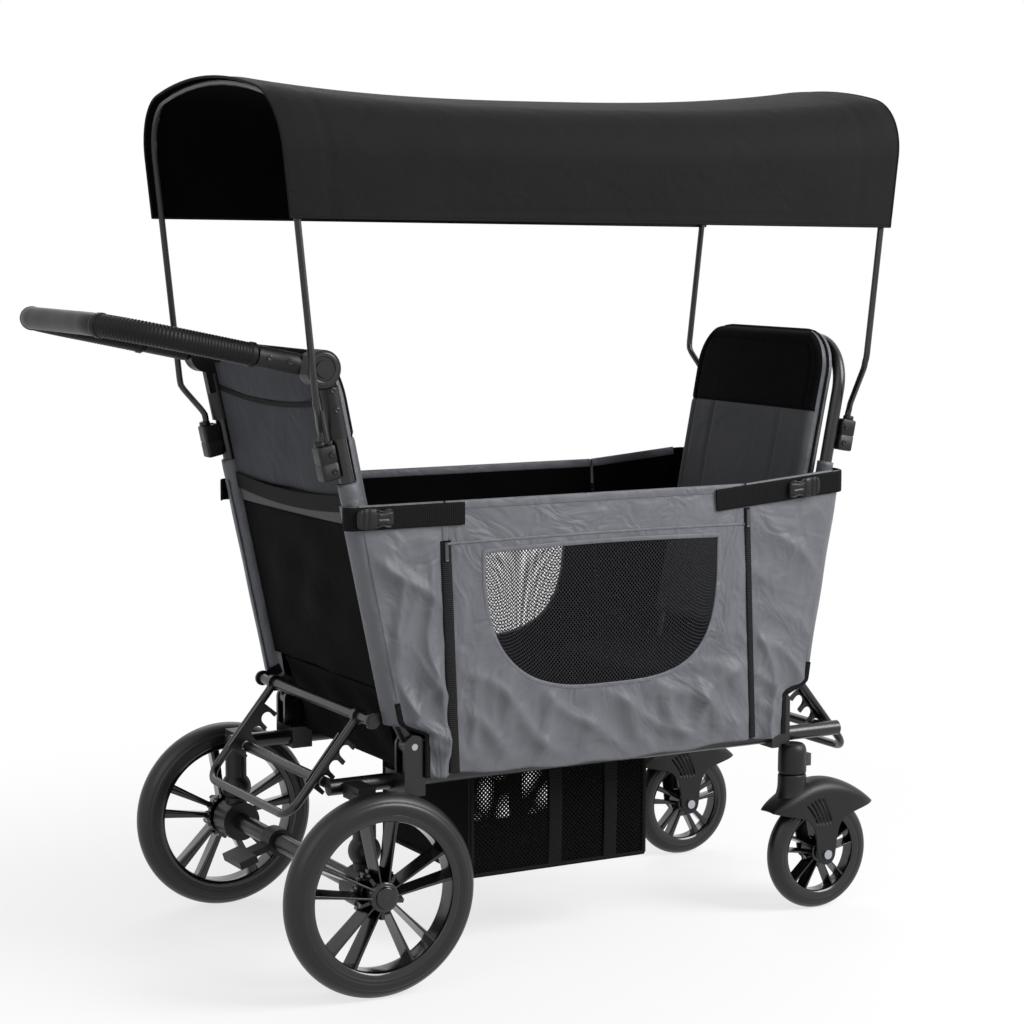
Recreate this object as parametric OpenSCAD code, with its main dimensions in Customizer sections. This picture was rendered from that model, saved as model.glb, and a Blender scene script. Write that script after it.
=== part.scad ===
// Stroller wagon for two seated children, with a folding frame, a push bar and a fixed sun canopy
// X runs forward, Y to the left, Z up from the ground, millimetres

/* [Wheels] */
// Outer radius of a rear wheel
rear_wheel_r = 150; // [120:1:170]
// Radius of the round section of a rear tyre
rear_tyre_r = 22; // [16:0.5:26]
// Height of a rear tyre above its rim
rear_tyre_h = 32; // [28:0.5:36]
// Distance between the middle planes of the rear wheels
rear_track = 572; // [540:1:640]
// Place of the rear axle along the wagon
rear_axle_x = -417; // [-450:1:-390]
// Diameter of a rear stub axle
stub_d = 12; // [8:0.5:16]
// Outer radius of a front wheel
front_wheel_r = 93.5; // [80:0.5:100]
// Radius of the round section of a front tyre
front_tyre_r = 16; // [12:0.5:18]
// Height of a front tyre above its rim
front_tyre_h = 21.5; // [19:0.5:25]
// Place of the caster swivel axes along the wagon
caster_x = 367; // [350:1:390]
// Distance of a caster swivel axis from the middle
caster_y = 200; // [196:1:215]
// Distance of the front axle from its swivel axis
caster_trail = 50; // [35:1:60]
// Diameter of a front axle bolt
bolt_d = 9; // [6:0.5:12]

/* [Chassis] */
// Diameter of a side rail
rail_d = 24; // [18:0.5:30]
// Distance of a side rail from the middle
rail_y = 182; // [176:1:186]
// Height of the rail centres
rail_z = 289; // [282:1:294]
// Centre of the rear crossbar along the wagon
rear_bar_x = -437; // [-445:1:-432]
// Centre of the front crossbar along the wagon
front_bar_x = 452; // [448:1:456]
// Length of rail in front of the front crossbar
rail_nose = 16; // [12:1:30]
// Diameter of a crossbar
bar_d = 16; // [12:0.5:18]
// Place of the rear frame pivots along the wagon
rear_pivot_x = -331; // [-335:1:-328]
// Place of the front frame pivots along the wagon
front_pivot_x = 343; // [340:1:348]
// Height of the frame pivots
pivot_z = 346; // [343:1:350]
// Diameter of a pivot bolt
pivot_d = 10; // [7:0.5:12]
// Length of a frame bracket along the rail
bracket_l = 34; // [30:1:40]
// Thickness of a bracket cheek
cheek_t = 6; // [4:0.5:7]

/* [Frames] */
// Outward lean of the rear frame from upright
rear_lean = 12; // [11:0.5:13]
// Outward lean of the front frame from upright
front_lean = 11; // [10:0.5:12]
// Diameter of a rear post
rear_post_d = 22; // [18:0.5:23]
// Diameter of the front hoop tube
front_post_d = 20; // [16:0.5:21]
// Distance of a rear post from the middle
rear_post_y = 213; // [212:0.5:216]
// Distance of a front post from the middle
front_post_y = 186; // [183:0.5:187]
// Offset of the post lines outward from the pivots
post_off = 16; // [12:0.5:20]
// Height along the frame where a post bends in to its foot
knee_w = 62; // [50:1:70]
// Top of the front hoop along the frame, to its tube centre
hoop_w = 588; // [560:1:600]
// Bend radius of the hoop corners
hoop_r = 80; // [60:1:110]
// Offset of the lower cross tubes outward from the pivots
cross_off = 45; // [42:0.5:48]
// Height of the lower cross tubes along the frame
cross_w = 49; // [46:0.5:52]
// Thickness of the ears that carry a lower cross tube
ear_t = 5; // [3:0.5:6]

/* [Recline props] */
// Diameter of a prop bar
prop_d = 13; // [10:0.5:14]
// Distance of a prop arm from the middle
prop_y = 152; // [140:1:155]
// Reach of a prop outward from its hinge
prop_reach = 114; // [110:1:122]
// Drop of a prop below its hinge
prop_drop = 140; // [130:1:150]
// Bend radius of a prop corner
prop_r = 30; // [22:1:40]
// Thickness of a notched plate
plate_t = 5; // [3:0.5:6]
// Depth of a notch past the crossbar centre line
notch_pitch = 27; // [24:0.5:30]

/* [Push bar] */
// Height of the push bar pivot along the rear frame
hub_w = 574; // [565:1:580]
// Offset of the push bar pivot outward from the frame pivots
hub_off = 24; // [20:0.5:28]
// Radius of the round push bar joints
hub_r = 27; // [24:0.5:28]
// Reach of the push bar from its pivot
reach = 312; // [280:1:330]
// Rise of the push bar at rest
rise = 12; // [5:0.5:20]
// Diameter of the push bar tube
bar_tube_d = 23; // [19:0.5:25]
// Bend radius of the push bar corners
bar_r = 105; // [80:1:125]
// Number of ribs on each grip
ribs = 40; // [20:1:60]
// Diameter over the ribs of a grip
grip_d = 34; // [32:0.5:36]
// Length of the sleeve that joins a push bar joint to its post
socket_l = 104; // [96:1:108]
// Length of the sleeve that joins a push bar joint to the bar
bar_socket_l = 72; // [60:1:84]
// Distance of the post ends below the push bar pivot
post_short = 36; // [32:1:44]
// Diameter of a push bar button
button_d = 24; // [16:0.5:30]

/* [Canopy] */
// Diameter of a canopy rod
rod_d = 10; // [7:0.5:12]
// Distance of the canopy clips below the push bar pivot
clip_drop = 131; // [124:1:144]
// Offset of the rod feet outward from the frame pivots
clip_off = 46; // [44:0.5:52]
// Outward lean of the rear canopy rod
rear_rod_lean = 6; // [4:0.25:9]
// Outward lean of the front canopy rod
front_rod_lean = 6.5; // [4:0.25:9]
// Rearward jog of the rear canopy rod above its feet
rear_jog = 20; // [0:0.5:24]
// Rearward jog of the front canopy rod above its feet
front_jog = 27; // [20:0.5:32]
// Distance of the upper rods from the middle
rod_y = 254; // [248:1:258]
// Height of the rod arch above the rod foot
arch_h = 545; // [520:1:560]
// Corner radius of the rod arch
arch_r = 88; // [80:1:105]
// Height of the canopy hem above the rod foot
hem_h = 329; // [300:1:345]
// Extra height of the hem at the rear rod
hem_rise = 18; // [0:1:30]
// Thickness of the canopy cloth
cover_t = 3; // [2:0.25:4]
// Sag of the canopy roof between its two rods
roof_sag = 26; // [0:1:40]

/* [Body] */
// Thickness of the fabric panels
panel_t = 3; // [2:0.25:4]
// Distance of the inner face of the side panels from the middle
panel_y = 230.5; // [230.5:0.25:233]
// Height of the lower edge of the side panels
panel_low = 300; // [298:1:304]
// Height of the upper edge of the side panels
panel_top = 704; // [690:1:712]
// Place of the rear zips at their foot
rear_zip_x = -268; // [-272:1:-262]
// Place of the front zips at their foot
front_zip_x = 264; // [258:1:268]
// Lean of the zips from upright
zip_lean = 2.5; // [1:0.5:4]
// Room left for a zip beside a door
zip_gap = 4; // [3:0.5:6]
// Height of the straps that close the corners
strap_h = 34; // [25:1:40]
// Thickness of the floor board
floor_t = 6; // [4:0.5:8]
// Rear end of the footwell
well_rear = -195; // [-205:1:-180]
// Front end of the footwell
well_front = 119; // [110:1:130]
// Half width of the footwell
well_y = 150; // [140:1:155]
// Height of the footwell bottom above the ground
well_low = 112; // [100:1:125]
// Height of the seat tops
seat_top = 418; // [412:1:424]
// Thickness of a seat cushion
seat_t = 38; // [30:1:42]

/* [Fits] */
// Gap between pieces that move past each other
gap = 0.5; // [0.3:0.1:0.8]
// Radial clearance of pins and sleeves that run
run = 0.05; // [0.03:0.01:0.1]
// Gap left between fixed pieces that seat on each other
seam = 0.1; // [0.05:0.05:0.2]

/* [Hidden] */
$fn = 48;
black = "#1b1b1d";
grey = "#6b6d72";
steel = "#b8babd";
bracket_low = rail_z - rail_d / 2 - 5;
eye_r = bracket_l / 2 - 2;
rail_top = rail_z + rail_d / 2;
floor_z = rail_top + seam;
leg_y = rear_track / 2 - 50;
leg_d = 34;
carrier_d = 62;
rear_bead_r = rear_wheel_r - rear_tyre_h;
front_bead_r = front_wheel_r - front_tyre_h;
rear_rim_half = 17;
front_rim_half = 13;
rear_hub_d = 46;
front_hub_d = 34;
hub_half = 24;
carrier_out = rear_track / 2 - hub_half - 4;
carrier_in = leg_y - 22;
beam_d = 28;
socket_d = 46;
stem_d = 14;
socket_low = 228;
front_hub_half = 20;
leg_plate_t = 6;
tower_rise = 90;
stem_up = 36;
knee_rise = 76;
foot_rise = 28;
back_low = 84;
clip_low = 28;
clip_high = 22;
pedal_l = 80;
pedal_in = 50;
pedal_half = 34;
fender_r = front_wheel_r + 13;
fork_half = front_tyre_r + 8;
housing_in = rear_post_y - 14;
housing_out = rear_post_y;
hub_in = housing_out + gap;
hub_out = hub_in + 15.5;
bar_y = rear_post_y + 1;
sleeve_d = 30;
clip_w = hub_w - clip_drop;
pin_out = hub_out - 8;
button_travel = 3;
over = 9;
top_sweep = 12;
corner_turns = [for (i = [0:8]) (90 - top_sweep) * i / 8];
crown_turns = [for (i = [1:4]) 90 - top_sweep + top_sweep * i / 4];
top_y = rod_y - arch_r + arch_r * sin(top_sweep);
top_r = top_y / sin(top_sweep);
arch_v = arch_h - arch_r * cos(top_sweep) - top_r * (1 - cos(top_sweep));
foot_l = 18;
cover_end = over / (front_bar_x - rear_bar_x);
prop_l = sqrt(prop_reach * prop_reach + prop_drop * prop_drop);
prop_a = atan2(prop_reach, prop_drop);
panel_h = panel_top - panel_low;
strap_y = panel_y + panel_t + seam;
well_top = floor_z - seam;

// Point of a frame plane, in an end view where outward is minus x
function frame_at(px, lean, u, w) =
  [px + u * cos(lean) - w * sin(lean), pivot_z + u * sin(lean) + w * cos(lean)];
// Place of the crossbar in the coordinates of a prop
function bar_in_prop(px, lean, bar_x) =
  let (h = frame_at(px, lean, -cross_off, cross_w), dx = bar_x - h[0], dz = rail_z - h[1])
  [dx * cos(prop_a) - dz * sin(prop_a), dx * sin(prop_a) + dz * cos(prop_a)];
function mix(a, b, s) = a + (b - a) * s;
// Edge of a side panel along a leaning post
function post_edge(px, lean, z) = px - post_off / cos(lean) - (z - pivot_z) * tan(lean);
function zip_at(foot, side, z) = foot + side * (z - panel_low) * tan(zip_lean);

module mirrored() {
  children();
  mirror([0, 1, 0]) children();
}
module rear_pose() {
  translate([rear_pivot_x, 0, pivot_z]) rotate([0, -rear_lean, 0]) children();
}
module front_pose() {
  translate([front_pivot_x, 0, pivot_z]) mirror([1, 0, 0]) rotate([0, -front_lean, 0]) children();
}
// Swivelling push bar: its tube points backward and up
module hub_pose() {
  rear_pose() translate([-hub_off, 0, hub_w]) rotate([0, rear_lean + rise, 0]) children();
}
module rear_bow_pose() {
  rear_pose() translate([-clip_off, 0, clip_w]) rotate([0, rear_lean - rear_rod_lean, 0]) children();
}
module front_bow_pose() {
  front_pose() translate([-clip_off, 0, clip_w]) rotate([0, front_lean - front_rod_lean, 0]) children();
}
module rear_prop_pose() {
  h = frame_at(rear_pivot_x, rear_lean, -cross_off, cross_w);
  translate([h[0], 0, h[1]]) rotate([0, prop_a, 0]) children();
}
module front_prop_pose() {
  h = frame_at(-front_pivot_x, front_lean, -cross_off, cross_w);
  mirror([1, 0, 0]) translate([h[0], 0, h[1]]) rotate([0, prop_a, 0]) children();
}
// Round bar along Y
module along_y(x, z, d, y0, y1) {
  translate([x, y0, z]) rotate([-90, 0, 0]) cylinder(d = d, h = y1 - y0);
}
// Round bar along X
module along_x(y, z, d, x0, x1) {
  translate([x0, y, z]) rotate([0, 90, 0]) cylinder(d = d, h = x1 - x0);
}
// Box from one corner to the opposite one
module box(a, b) {
  translate(a) cube(b - a);
}
// Bent bar in the YZ plane about a centre, from one angle through a sweep
module bend_yz(y, z, r, d, from, sweep) {
  translate([0, y, z]) rotate([90, 0, 90]) rotate([0, 0, from])
    rotate_extrude(angle = sweep) translate([r, 0]) circle(d = d);
}
// Straight rod between two points
module rod(p, q, d) {
  v = q - p;
  translate(p) rotate([0, acos(v[2] / norm(v)), atan2(v[1], v[0])]) cylinder(d = d, h = norm(v));
}
// Side panel outline pushed out to the panel plane
module side_sheet(points, y, t) {
  translate([0, y + t, 0]) rotate([90, 0, 0]) linear_extrude(t) polygon(points);
}

// Rounded outline of a cushion, as a closed ring of points at one height
function ring(hx, hy, inset, z, n) =
  [for (k = [0:n - 1]) let (a = 360 * k / n, c = cos(a), s = sin(a))
    [(hx - inset) * sign(c) * pow(abs(c), 0.35), (hy - inset) * sign(s) * pow(abs(s), 0.35), z]];
// Cushion with a crown and a drawn-in side, lying on z = 0
module cushion(hx, hy, t, crown) {
  n = 32;
  lay = [[6, 0], [1, 0.2 * t], [4, 0.5 * t], [1, 0.78 * t], [9, t],
    [0.4 * hx, t + 0.7 * crown], [0.75 * hx, t + crown]];
  last = len(lay) - 1;
  pts = [for (l = lay) each ring(hx, hy, min(l[0], hy - 4), l[1], n)];
  sides = [for (i = [0:last - 1]) for (k = [0:n - 1]) let (a = i * n + k, b = i * n + (k + 1) % n)
    each [[a, a + n, b], [b, a + n, b + n]]];
  low = [for (k = [1:n - 2]) [0, k, k + 1]];
  high = [for (k = [1:n - 2]) [last * n, last * n + k + 1, last * n + k]];
  polyhedron(points = pts, faces = concat(sides, low, high));
}

module rail() {
  along_x(rail_y, rail_z, rail_d, rear_bar_x - bar_d / 2 - 4, front_bar_x + rail_nose);
}
module left_rail() { color(black) rail(); }
module right_rail() { color(black) mirror([0, 1, 0]) rail(); }
module crossbar(x) {
  difference() {
    along_y(x, rail_z, bar_d, -rail_y, rail_y);
    mirrored() along_x(rail_y, rail_z, rail_d + 2 * seam, x - bar_d, x + bar_d);
  }
}
module rear_crossbar() { color(black) crossbar(rear_bar_x); }
module front_crossbar() { color(black) crossbar(front_bar_x); }

// Clevis that wraps the rail and holds the foot of a post between two cheeks
module bracket(x, y, d) {
  slot = d / 2 - 1 + gap;
  difference() {
    union() {
      box([x - bracket_l / 2, min(rail_y - rail_d / 2 - 4, y - slot - cheek_t), bracket_low],
        [x + bracket_l / 2, y + slot + cheek_t, rail_top + 5]);
      for (s = [-1, 1]) translate([0, y + s * (slot + cheek_t / 2), 0]) {
        box([x - bracket_l / 2, -cheek_t / 2, bracket_low], [x + bracket_l / 2, cheek_t / 2, pivot_z]);
        along_y(x, pivot_z, bracket_l, -cheek_t / 2, cheek_t / 2);
      }
    }
    along_x(rail_y, rail_z, rail_d + 2 * seam, x - bracket_l, x + bracket_l);
    along_y(x, pivot_z, pivot_d + 2 * seam, y - slot - 2 * cheek_t, y + slot + 2 * cheek_t);
  }
}
module rear_brackets() { color(black) mirrored() bracket(rear_pivot_x, rear_post_y, rear_post_d); }
module front_brackets() {
  color(black) mirrored() difference() {
    bracket(front_pivot_x, front_post_y, front_post_d);
    translate([caster_x, caster_y, socket_low])
      cylinder(d = socket_d + 2 * seam, h = rail_z - rail_d / 2 - socket_low);
  }
}
module pivot_bolt(x, y, d) {
  half = d / 2 - 1 + gap + cheek_t - 0.4;
  along_y(x, pivot_z, pivot_d, y - half, y + half);
}
module pivot_bolts() {
  color(steel) mirrored() {
    pivot_bolt(rear_pivot_x, rear_post_y, rear_post_d);
    pivot_bolt(front_pivot_x, front_post_y, front_post_d);
  }
}

module rear_legs() {
  color(black) mirrored() difference() {
    union() {
      translate([rear_axle_x, leg_y, rear_wheel_r]) cylinder(d = leg_d, h = rail_z - rear_wheel_r);
      translate([rear_axle_x, leg_y, rear_wheel_r + 54]) sphere(d = leg_d + 14);
      along_y(rear_axle_x, rear_wheel_r, carrier_d, carrier_in, carrier_out);
      box([rear_axle_x - 14, rail_y + rail_d / 2 + seam, rail_z - 13], [rear_axle_x + 14, leg_y + 10, rail_z + 9]);
    }
    along_y(rear_axle_x, rear_wheel_r, stub_d + 2 * seam, carrier_out - 28, carrier_out + 1);
  }
}
module axle_beam() {
  color(black) along_y(rear_axle_x, rear_wheel_r, beam_d, -carrier_in + seam, carrier_in - seam);
}
module stub_axles() {
  color(steel) mirrored()
    along_y(rear_axle_x, rear_wheel_r, stub_d, carrier_out - 28 + seam, rear_track / 2 + hub_half - 8);
}
module caster_sockets() {
  color(black) mirrored() difference() {
    translate([caster_x, caster_y, socket_low])
      cylinder(d = socket_d, h = rail_z - rail_d / 2 - seam - socket_low);
    translate([caster_x, caster_y, socket_low - 1]) cylinder(d = stem_d + 2 * run, h = 38);
  }
}

module floor_board() {
  x0 = rear_pivot_x + bracket_l / 2 + 2;
  x1 = front_pivot_x - bracket_l / 2 - 2;
  color(black) difference() {
    box([x0, -panel_y + seam, floor_z], [x1, panel_y - seam, floor_z + floor_t]);
    box([well_rear + 4, -well_y + 4, floor_z - 1], [well_front - 4, well_y - 4, floor_z + floor_t + 1]);
  }
}
module footwell_basket() {
  color("#232325") difference() {
    box([well_rear, -well_y, well_low], [well_front, well_y, well_top]);
    box([well_rear + 4, -well_y + 4, well_low + 4], [well_front - 4, well_y - 4, well_top + 1]);
  }
}
// Seat: a crowned cushion with a drop panel down to the floor at the footwell
module seat(x0, x1, drop_x) {
  half = min(front_post_y - front_post_d / 2, rail_y) - 8;
  color(black) {
    translate([(x0 + x1) / 2, 0, seat_top - seat_t]) cushion((x1 - x0) / 2, half, seat_t - 8, 8);
    box([drop_x - 5, -half + 12, floor_z + floor_t + seam], [drop_x + 5, half - 12, seat_top - seat_t + 4]);
  }
}
module rear_seat() { seat(rear_pivot_x + 2, well_rear, well_rear - 18); }
module front_seat() { seat(well_front, front_pivot_x - 2, well_front + 18); }

module corner_panels() {
  inner = bracket_l / 2 + 6;
  foot_z = pivot_z + foot_rise;
  side_sheet([
    [post_edge(rear_pivot_x, rear_lean, panel_top), panel_top],
    [post_edge(rear_pivot_x, rear_lean, pivot_z + knee_rise), pivot_z + knee_rise],
    [rear_pivot_x + inner, foot_z],
    [rear_pivot_x + inner, panel_low],
    [rear_zip_x - zip_gap / 2, panel_low],
    [zip_at(rear_zip_x, -1, panel_top) - zip_gap / 2, panel_top]], panel_y, panel_t);
  side_sheet([
    [-post_edge(-front_pivot_x, front_lean, panel_top), panel_top],
    [-post_edge(-front_pivot_x, front_lean, pivot_z + knee_rise), pivot_z + knee_rise],
    [front_pivot_x - inner, foot_z],
    [front_pivot_x - inner, panel_low],
    [front_zip_x + zip_gap / 2, panel_low],
    [zip_at(front_zip_x, -1, panel_top) + zip_gap / 2, panel_top]], panel_y, panel_t);
}
module left_corner_panels() { color(grey) corner_panels(); }
module right_corner_panels() { color(grey) mirror([0, 1, 0]) corner_panels(); }
module corner_straps() {
  z1 = panel_top - 6;
  z0 = z1 - strap_h;
  color(black) mirrored() {
    side_sheet([[post_edge(rear_pivot_x, rear_lean, z0), z0], [zip_at(rear_zip_x, -1, z0) - zip_gap, z0],
      [zip_at(rear_zip_x, -1, z1) - zip_gap, z1], [post_edge(rear_pivot_x, rear_lean, z1), z1]], strap_y, 3);
    side_sheet([[-post_edge(-front_pivot_x, front_lean, z0), z0], [zip_at(front_zip_x, -1, z0) + zip_gap, z0],
      [zip_at(front_zip_x, -1, z1) + zip_gap, z1], [-post_edge(-front_pivot_x, front_lean, z1), z1]], strap_y, 3);
  }
}
module strap_buckles() {
  y = strap_y + 3 + seam;
  z = panel_top - 6 - strap_h / 2;
  color("#3a3b3e") mirrored() {
    x0 = post_edge(rear_pivot_x, rear_lean, z) + 8;
    x1 = -post_edge(-front_pivot_x, front_lean, z) - 8;
    box([x0, y, z - strap_h / 2 + 2], [x0 + 58, y + 9, z + strap_h / 2 - 2]);
    box([x1 - 58, y, z - strap_h / 2 + 2], [x1, y + 9, z + strap_h / 2 - 2]);
  }
}
module door() {
  low = panel_low + gap;
  side_sheet([
    [rear_zip_x + zip_gap / 2, low], [front_zip_x - zip_gap / 2, low],
    [zip_at(front_zip_x, -1, panel_top) - zip_gap / 2, panel_top],
    [zip_at(rear_zip_x, -1, panel_top) + zip_gap / 2, panel_top]], panel_y, panel_t);
}
module left_door() { color(grey) door(); }
module right_door() { color(grey) mirror([0, 1, 0]) door(); }

// Straight post with a bent foot and a pivot eye, in the coordinates of its frame
module post(y, d, top) {
  difference() {
    union() {
      translate([-post_off, y, knee_w]) cylinder(d = d, h = top - knee_w);
      translate([-post_off, y, knee_w]) sphere(d = d * 1.03);
      rod([-post_off, y, knee_w], [0, y, 0], d);
      along_y(0, 0, 2 * eye_r, y - d / 2 + 1, y + d / 2 - 1);
    }
    along_y(0, 0, pivot_d + 2 * run, y - d, y + d);
    box([-eye_r - d, y + d / 2 - 1, -eye_r - 1], [eye_r + d, y + d, eye_r + 4]);
    box([-eye_r - d, y - d, -eye_r - 1], [eye_r + d, y - d / 2 + 1, eye_r + 4]);
  }
}
module left_rear_post() { color(black) rear_pose() post(rear_post_y, rear_post_d, hub_w - post_short); }
module right_rear_post() {
  color(black) mirror([0, 1, 0]) rear_pose() post(rear_post_y, rear_post_d, hub_w - post_short);
}
// Lower cross tube carried outside the posts on two ears
module cross_tube(y, d) {
  inner = y - d / 2 - seam;
  color(black) {
    along_y(-cross_off, cross_w, bar_d, -inner, inner);
    mirrored() difference() {
      union() {
        along_y(-cross_off, cross_w, bar_d + 8, inner - ear_t, inner - 1);
        translate([-cross_off, inner - ear_t, cross_w]) rotate([0, -12, 0])
          box([0, 0.5, -8], [cross_off - post_off + 6, ear_t - 0.5, 8]);
      }
    }
  }
}
module rear_cross_tube() { rear_pose() cross_tube(rear_post_y, rear_post_d); }
module front_cross_tube() { front_pose() cross_tube(front_post_y, front_post_d); }
module push_bar_housings() {
  color(black) rear_pose() mirrored() difference() {
    union() {
      along_y(-hub_off, hub_w, 2 * hub_r, housing_in, housing_out);
      box([-hub_off - 8, housing_in, hub_w - socket_l * 0.58], [-hub_off + 20, housing_out, hub_w]);
      translate([-post_off, rear_post_y, hub_w - socket_l]) cylinder(d = sleeve_d, h = socket_l - hub_r - 3);
    }
    translate([-post_off, rear_post_y, hub_w - socket_l - 6])
      cylinder(d = rear_post_d + 2 * seam, h = socket_l + 6 - post_short + seam);
    along_y(-hub_off, hub_w, pivot_d + 2 * seam, housing_in - 1, housing_out + 1);
  }
}
module push_bar_pins() {
  color(steel) rear_pose() mirrored() along_y(-hub_off, hub_w, pivot_d, housing_in + seam, pin_out - gap);
}
// Cushion set against the inner side of a frame
module backrest(y, d, top) {
  low = 92;
  translate([-post_off + d / 2 + seam, 0, (low + top) / 2]) rotate([0, 90, 0])
    cushion((top - low) / 2, y - d / 2 - seam, 24, 10);
}
module rear_backrest() { color("#2a2b2f") rear_pose() backrest(rear_post_y - 3, rear_post_d, hub_w + 30); }
module rear_panel() {
  half = rear_post_y - rear_post_d / 2 - 2;
  color(black) rear_pose()
    box([-post_off + 4, -half + 2, back_low], [-post_off + rear_post_d / 2, half - 2, hub_w - 8]);
}
module front_hoop() {
  color(black) front_pose() {
    mirrored() {
      post(front_post_y, front_post_d, hoop_w - hoop_r);
      translate([-post_off, 0, 0]) bend_yz(front_post_y - hoop_r, hoop_w - hoop_r, hoop_r, front_post_d, 0, 90);
    }
    along_y(-post_off, hoop_w, front_post_d, -front_post_y + hoop_r, front_post_y - hoop_r);
  }
}
module front_backrest() { color("#2a2b2f") front_pose() backrest(front_post_y + 8, front_post_d, hoop_w + 14); }

module push_bar() {
  arm = reach - bar_r;
  color(black) hub_pose() {
    mirrored() {
      along_x(bar_y, 0, bar_tube_d, -arm, -hub_r - 14);
      translate([-arm, bar_y - bar_r, 0]) rotate([0, 0, 90])
        rotate_extrude(angle = 90) translate([bar_r, 0]) circle(d = bar_tube_d);
    }
    along_y(-reach, 0, bar_tube_d, -bar_y + bar_r, bar_y - bar_r);
  }
}
module push_bar_hubs() {
  color("#3a3b3e") hub_pose() mirrored() difference() {
    union() {
      along_y(0, 0, 2 * hub_r, hub_in, hub_out);
      box([-hub_r - 8, hub_in, -sleeve_d / 2 + 2], [0, hub_out, sleeve_d / 2 - 2]);
      along_x(bar_y, 0, sleeve_d, -hub_r - bar_socket_l, -hub_r - 3);
    }
    along_x(bar_y, 0, bar_tube_d + 2 * seam, -hub_r - bar_socket_l - 8, -hub_r - 14 + seam);
    along_y(0, 0, pivot_d + 2 * run, hub_in - 1, pin_out);
    along_y(0, 0, button_d + 2 * run, hub_out - 7, hub_out + 1);
  }
}
module button() {
  color(black) hub_pose() along_y(0, 0, button_d, hub_out - 7 + button_travel + gap, hub_out + 2.5);
}
module left_button() { button(); }
module right_button() { mirror([0, 1, 0]) button(); }

// Centre line of a grip: along the arm, round the corner and onto the cross part
grip_start = hub_r + 76;
grip_arm = reach - bar_r - grip_start;
grip_arc = bar_r * PI / 2;
grip_tail = 46;
grip_l = grip_arm + grip_arc + grip_tail;
// Point and heading of the grip at a distance along it
function grip_at(s) =
  s < grip_arm ? [-grip_start - s, bar_y, 180] :
  s < grip_arm + grip_arc ?
    let (a = 90 * (s - grip_arm) / grip_arc)
    [-reach + bar_r - bar_r * sin(a), bar_y - bar_r + bar_r * cos(a), 180 + a] :
  [-reach, bar_y - bar_r - (s - grip_arm - grip_arc), 270];
// Ring of points round the grip at a distance along it
function grip_ring(s, r) =
  let (p = grip_at(s), h = p[2])
  [for (k = [0:7]) let (a = 22.5 + 45 * k)
    [p[0] - r * cos(a) * sin(h), p[1] + r * cos(a) * cos(h), r * sin(a)]];
module grip() {
  pitch = grip_l / ribs;
  bore_r = (bar_tube_d / 2 + gap) / cos(22.5) + 0.3;
  crest = grip_d / 2;
  valley = bore_r + 1.2;
  outer = [for (i = [0:2 * ribs - 1]) grip_ring(pitch * (i + 0.5) / 2, i % 2 == 0 ? crest : valley)];
  inner = [for (i = [0:2 * ribs - 1]) grip_ring(pitch * (i + 0.5) / 2, bore_r)];
  n = 2 * ribs;
  pts = [for (r = concat(outer, inner)) each r];
  wall = [for (i = [0:n - 2]) for (k = [0:7]) let (a = 8 * i + k, b = 8 * i + (k + 1) % 8)
    each [[a, a + 8, b], [b, a + 8, b + 8]]];
  bore = [for (i = [0:n - 2]) for (k = [0:7]) let (a = 8 * (n + i) + k, b = 8 * (n + i) + (k + 1) % 8)
    each [[a, b, a + 8], [b, b + 8, a + 8]]];
  ends = [for (k = [0:7]) let (j = (k + 1) % 8, e = 8 * (n - 1), m = 8 * n)
    each [[k, j, m + k], [j, m + j, m + k], [e + k, e + m + k, e + j], [e + j, e + m + k, e + m + j]]];
  polyhedron(points = pts, faces = concat(wall, bore, ends));
}
module push_bar_grips() {
  half = bar_y - bar_r - grip_tail - 1;
  color("#161617") hub_pose() {
    mirrored() grip();
    difference() {
      along_y(-reach, 0, grip_d - 1, -half, half);
      along_y(-reach, 0, bar_tube_d + 2 * seam, -half - 1, half + 1);
    }
  }
}

// Bent U bar with an eye at the top of each arm, in the coordinates of a prop
module prop_bar() {
  straight = prop_l - prop_r;
  color(black) difference() {
    union() {
      mirrored() {
        translate([0, prop_y, -straight]) cylinder(d = prop_d, h = straight);
        bend_yz(prop_y - prop_r, -straight, prop_r, prop_d, -90, 90);
        along_y(0, 0, bar_d + 9, prop_y - prop_d / 2 + 1.5, prop_y + prop_d / 2 - 1.5);
      }
      along_y(0, -prop_l, prop_d, -prop_y + prop_r, prop_y - prop_r);
    }
    along_y(0, 0, bar_d + 2 * run, -prop_y - prop_d, prop_y + prop_d);
  }
}
module rear_prop() { rear_prop_pose() prop_bar(); }
module front_prop() { front_prop_pose() prop_bar(); }
// Notched plates beside the arms: the crossbar rests in the lowest notch
module prop_plates(bar) {
  room = bar_d / 2 + 2;
  outer = prop_y - prop_d / 2 - seam;
  color(black) mirrored() difference() {
    box([-prop_d / 2, outer - plate_t, bar[1] - room - 7], [bar[0] + 9, outer, bar[1] + 2 * notch_pitch + room + 6]);
    for (k = [0:2]) translate([bar[0], outer + 1, bar[1] + k * notch_pitch]) {
      along_y(0, 0, 2 * room, -plate_t - 3, 1);
      rotate([0, 8, 0]) box([0, -plate_t - 3, -room], [40, 1, room]);
    }
  }
}
module rear_prop_plates() {
  rear_prop_pose() prop_plates(bar_in_prop(rear_pivot_x, rear_lean, rear_bar_x));
}
module front_prop_plates() {
  front_prop_pose() prop_plates(bar_in_prop(-front_pivot_x, front_lean, -front_bar_x));
}

// Rounded corner of a path, as points of a curve that starts and ends a set distance from it
function corner(a, c, b, l) =
  let (p = c + l * (a - c) / norm(a - c), q = c + l * (b - c) / norm(b - c))
  [for (t = [0:0.25:1]) (1 - t) * (1 - t) * p + 2 * t * (1 - t) * c + t * t * q];
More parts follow.
